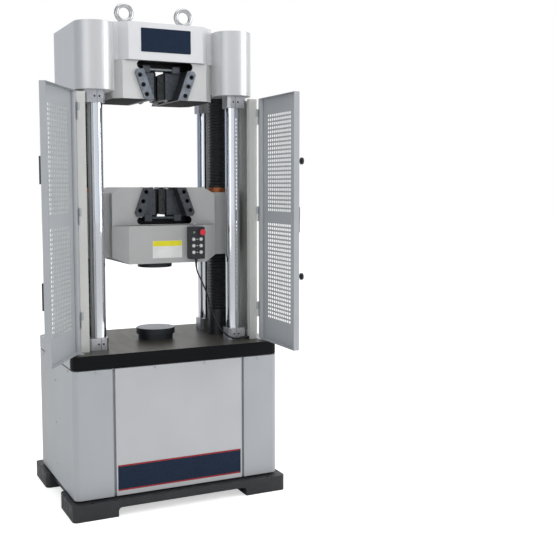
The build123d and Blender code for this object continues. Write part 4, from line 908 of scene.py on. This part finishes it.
class MACHINE_OT_control_face(bpy.types.Operator):
    """Face of the hand control: bezels, lamp, bars between the buttons, screws and hanging ring"""

    bl_idname = "machine.control_face"
    bl_label = "Hand control"

    # Radius and height in millimetres
    button_bezel = [(8.6, 0), (8.6, 1.2), (8.0, 1.8), (6.5, 1.8), (6.4, 0.2)]
    stop_collar = [(12.5, 0), (12.5, 2.6), (11.6, 3.4), (8.0, 3.4), (7.6, 0.3)]
    lamp_bezel = [(4.2, 0), (4.2, 1.0), (3.6, 1.6), (3.0, 1.6)]
    lamp = [(2.9, 0), (2.7, 0.8), (1.8, 1.5), (0.6, 1.8)]
    peg = [(2.2, 0), (2.2, 9.5), (4.6, 10.2), (4.6, 11.4), (3.6, 12.4), (1.5, 13.0)]
    # Millimetres: the lamp from the left edge, a bar's size, and a screw's size and its place from the edges
    lamp_in = 22
    bar = (9, 2.2, 0.3)
    screw_radius, screw_in, screw_down, screw_up = 2.4, 6, 7, 23
    # The ring, in millimetres: its radius, its wire, how far off the cover and how far over the control
    ring_radius, wire, ring_off, ring_over, peg_over = 7.5, 1.3, 8, 5, 11

    def execute(self, context):
        left, right = low("pendant_housing"), high("pendant_housing")
        face = left.y

        bm = bmesh.new()
        for number in range(1, 7):
            button = middle(f"button_{number}")
            turned(bm, facing((button.x, face, button.z), FRONT), self.button_bezel, 24, capped=False)
        self.add(bm, "button_bezels", "nickel_plated_steel", "steel")

        stop = middle("emergency_stop")
        bm = bmesh.new()
        turned(bm, facing((stop.x, face, stop.z), FRONT), self.stop_collar, 32, capped=False)
        self.add(bm, "stop_collar", "moulded_black_abs", "plastic_black")

        lamp_x = left.x + self.lamp_in * MM
        bm = bmesh.new()
        turned(bm, facing((lamp_x, face, stop.z), FRONT), self.lamp_bezel, 20)
        self.add(bm, "lamp_bezel", "nickel_plated_steel", "steel")
        bm = bmesh.new()
        turned(bm, facing((lamp_x, face - 1.5 * MM, stop.z), FRONT), self.lamp, 20)
        self.add(bm, "running_lamp", "green_lens", "plastic_white")

        bm = bmesh.new()
        between = (low("button_1").x + high("button_2").x) / 2
        for number in (1, 3, 5):
            place = facing((between, face, middle(f"button_{number}").z), FRONT)
            sheet_plate(bm, place, *(size * MM for size in self.bar))
        self.add(bm, "control_marks", "white_enamel", "cover_white")

        bm = bmesh.new()
        for x in (left.x + self.screw_in * MM, right.x - self.screw_in * MM):
            for z in (right.z - self.screw_down * MM, left.z + self.screw_up * MM):
                pan_screw(bm, facing((x, face, z), FRONT), self.screw_radius * MM)
        self.add(bm, "control_screws", "black_screw_steel", "grip_black")
        self.hang((left.x + right.x) / 2, low("middle_front_cover").y, right.z)
        return {"FINISHED"}

    def add(self, bm, name, material, slot, smooth_angle=35):
        finish_piece(bm, name, material, "middle_crosshead", smooth_angle)

    def hang(self, x, wall, top):
        """A wire ring on a peg in the crosshead's cover."""
        bm = bmesh.new()
        centre = Vector((x, wall - self.ring_off * MM, top + self.ring_over * MM))
        start = facing(centre + Vector((self.ring_radius * MM, 0, 0)), UP)
        made = bmesh.ops.create_circle(bm, cap_ends=False, segments=12, radius=self.wire * MM, matrix=start)
        bmesh.ops.spin(bm, geom=made["verts"] + edges_of(made["verts"]), cent=centre, axis=BACK, angle=2 * pi,
                       steps=28, use_merge=True)
        self.add(bm, "hanging_ring", "nickel_plated_steel", "steel", 60)
        bm = bmesh.new()
        turned(bm, facing((x, wall, top + self.peg_over * MM), FRONT), self.peg, 20)
        self.add(bm, "hanging_peg", "nickel_plated_steel", "steel")


class MACHINE_OT_door_grilles(bpy.types.Operator):
    """Bars that divide the door slots into square holes"""

    bl_idname = "machine.door_grilles"
    bl_label = "Door grilles"

    # The door's own sizes, in millimetres, as it lies closed, and how many degrees each door is open
    hinge = (420, -258)
    skin_start = (424, -266)
    curve, flat, skin = 20, 372, 1.5
    field_offset = 19
    groups = (-82, 0, 82)
    row_pitch, rows = 18.7, 24
    bar_height = 11.4
    block_rows = (111.95, 608.95)
    opening = {-1: 122, 1: 88.5}

    def execute(self, context):
        square, pitch = settings().square / MM, settings().square_pitch / MM
        bar = Vector((pitch - square, self.skin, self.bar_height)) * MM
        bottom = low("left_door").z / MM
        y = self.skin_start[1] - self.curve + self.skin / 2
        for side, name in ((-1, "left"), (1, "right")):
            hinge = Matrix.Translation(Vector((side * self.hinge[0], self.hinge[1], 0)) * MM)
            swing = hinge @ Matrix.Rotation(radians(side * self.opening[side]), 4, "Z") @ hinge.inverted()
            centre = side * (self.skin_start[0] - self.curve - self.flat / 2 + self.field_offset)
            bm = bmesh.new()
            for first in self.block_rows:
                for row in range(self.rows):
                    z = bottom + first + row * self.row_pitch
                    for group in self.groups:
                        for step in (-1, 0, 1):
                            place = Vector((centre + group + step * pitch, y, z)) * MM
                            block(bm, swing @ Matrix.Translation(place), bar)
            finish_piece(bm, f"{name}_door_bars", "grey_powder_coat", f"{name}_door")
        return {"FINISHED"}


class MACHINE_OT_jaw_clips(bpy.types.Operator):
    """Retaining clips and keeper bars on the jaws"""

    bl_idname = "machine.jaw_clips"
    bl_label = "Jaw clips"

    # In millimetres. The clip is a round boss with a small hexagonal socket
    clip = [(15, 0), (15, 4), (13.5, 5.5), (8, 5.5), (8, 9), (7, 10), (4, 10), (3.9, 10, 6), (3.9, 7, 6)]
    clip_across, clip_deep = 37, 74
    keeper = (41, 3, 10)
    keeper_across, keeper_front, keeper_in = 39.5, -94.5, 122.5

    def execute(self, context):
        for grip, inward in (("upper", 1), ("lower", -1)):
            for side, hand in ((-1, "left"), (1, "right")):
                node = f"{grip}_{hand}_jaw"
                end = low(node).z if inward > 0 else high(node).z
                bm = bmesh.new()
                for y in (-self.clip_deep, self.clip_deep):
                    place = facing((side * self.clip_across * MM, y * MM, end), (0, 0, -inward))
                    turned(bm, place, self.clip, 28)
                finish_piece(bm, f"{node}_clips", "nickel_plated_steel", node)
                bm = bmesh.new()
                place = Vector((side * self.keeper_across, self.keeper_front, inward * self.keeper_in)) * MM
                place.z += end
                block(bm, Matrix.Translation(place), Vector(self.keeper) * MM, 0.5 * MM)
                finish_piece(bm, f"{node}_keeper", "black_screw_steel", node)
        return {"FINISHED"}


class MACHINE_OT_slot_shade_sheets(bpy.types.Operator):
    """Black sheets lining the slots in both crossheads, behind the jaw bars: a painted shade of the slots'
    insides
    """

    bl_idname = "machine.slot_plates"
    bl_label = "Slot liners"

    # In millimetres: each one's width, height, thickness or wall, and corner radius
    back = (262, 31, 4, 12)
    walls = (262.4, 33.4, 0.5, 16)
    back_front, back_in = -85, 11
    walls_rear, walls_in = -86, 9.5

    def execute(self, context):
        for grip, inward, body, front in (
            ("upper", 1, "moving_frame", -176), ("lower", -1, "middle_crosshead", -148)
        ):
            level = middle(f"{grip}_jaw_bar").z
            bm = bmesh.new()
            width, height, thick, corner = (size * MM for size in self.back)
            place = facing((0, self.back_front * MM, level + inward * self.back_in * MM), BACK)
            sheet_plate(bm, place, width, height, thick, corner)
            wall = bmesh.new()
            width, height, thick, corner = (size * MM for size in self.walls)
            place = facing((0, self.walls_rear * MM, level + inward * self.walls_in * MM), FRONT)
            sheet_plate(wall, place, width, height, (self.walls_rear - front) * MM, corner)
            ends = [face for face in wall.faces if abs(face.normal.y) > 0.9]
            inner = min(wall.faces, key=lambda face: inward * face.calc_center_median().z)
            bmesh.ops.delete(wall, geom=ends + [inner], context="FACES")
            bmesh.ops.recalc_face_normals(wall, faces=wall.faces)
            bmesh.ops.solidify(wall, geom=wall.faces[:], thickness=thick)
            mesh = bpy.data.meshes.new("slot_wall")
            wall.to_mesh(mesh)
            wall.free()
            bm.from_mesh(mesh)
            bpy.data.meshes.remove(mesh)
            # The black sheets are painted shade inside the slots
            finish_piece(bm, f"{grip}_slot_plate", "black_screw_steel", body)
        return {"FINISHED"}


class MACHINE_OT_louvres(bpy.types.Operator):
    """Hoods over the louvre slots of the rear panel"""

    bl_idname = "machine.louvres"
    bl_label = "Louvre hoods"

    # In millimetres
    columns = (-119, 119)
    rows, row_pitch, from_top = 7, 26, 150
    radius, length, over_slot = 9, 160, 5
    off_panel = 0.2

    def execute(self, context):
        face = high("rear_panel").y
        down = self.from_top + self.rows // 2 * self.row_pitch - self.over_slot
        lowest = high("rear_panel").z - down * MM
        bm = bmesh.new()
        for x in self.columns:
            for row in range(self.rows):
                place = ((x - self.length / 2) * MM, face, lowest + row * self.row_pitch * MM)
                made = bmesh.ops.create_circle(bm, cap_ends=True, segments=24, radius=self.radius * MM,
                                               matrix=facing(place, (1, 0, 0)))
                grown = bmesh.ops.extrude_face_region(bm, geom=[made["verts"][0].link_faces[0]])
                lifted = [item for item in grown["geom"] if isinstance(item, bmesh.types.BMVert)]
                bmesh.ops.translate(bm, verts=lifted, vec=(self.length * MM, 0, 0))
        geometry = bm.verts[:] + bm.edges[:] + bm.faces[:]
        bmesh.ops.bisect_plane(bm, geom=geometry, plane_co=(0, face + self.off_panel * MM, 0), plane_no=FRONT,
                               clear_outer=True)
        bmesh.ops.holes_fill(bm, edges=[edge for edge in bm.edges if edge.is_boundary])
        finish_piece(bm, "louvre_hoods", "powder_coated_panel", "base")
        return {"FINISHED"}


class MACHINE_PT_panel(bpy.types.Panel):
    """Steps of the dressing"""

    bl_idname = "MACHINE_PT_panel"
    bl_label = "Testing machine"
    bl_space_type = "VIEW_3D"
    bl_region_type = "UI"
    bl_category = "Testing machine"

    def draw(self, context):
        for group in SETTINGS:
            box = self.layout.box()
            values = getattr(context.scene, group)
            for name in values.__annotations__:
                box.prop(values, name)
        for step in STEPS:
            self.layout.operator(step.bl_idname)


SETTINGS = {
    "machine_studio": StudioSettings,
    "machine_colours": ColourSettings,
    "machine_fittings": FittingSettings,
}
STEPS = (
    MACHINE_OT_stage,
    MACHINE_OT_finishes,
    MACHINE_OT_cord,
    MACHINE_OT_bellows,
    MACHINE_OT_panel_screws,
    MACHINE_OT_plates,
    MACHINE_OT_grip_screws,
    MACHINE_OT_collar_screws,
    MACHINE_OT_control_face,
    MACHINE_OT_door_grilles,
    MACHINE_OT_jaw_clips,
    MACHINE_OT_slot_shade_sheets,
    MACHINE_OT_louvres,
)


def register():
    for group in SETTINGS.values():
        bpy.utils.register_class(group)
    for name, group in SETTINGS.items():
        setattr(bpy.types.Scene, name, bpy.props.PointerProperty(type=group))
    for step in STEPS:
        bpy.utils.register_class(step)
    bpy.utils.register_class(MACHINE_PT_panel)


def unregister():
    bpy.utils.unregister_class(MACHINE_PT_panel)
    for step in reversed(STEPS):
        bpy.utils.unregister_class(step)
    for name in SETTINGS:
        delattr(bpy.types.Scene, name)
    for group in reversed(SETTINGS.values()):
        bpy.utils.unregister_class(group)


def main():
    register()
    for step in STEPS:
        group, name = step.bl_idname.split(".")
        getattr(getattr(bpy.ops, group), name)()


if __name__ == "__main__":
    main()
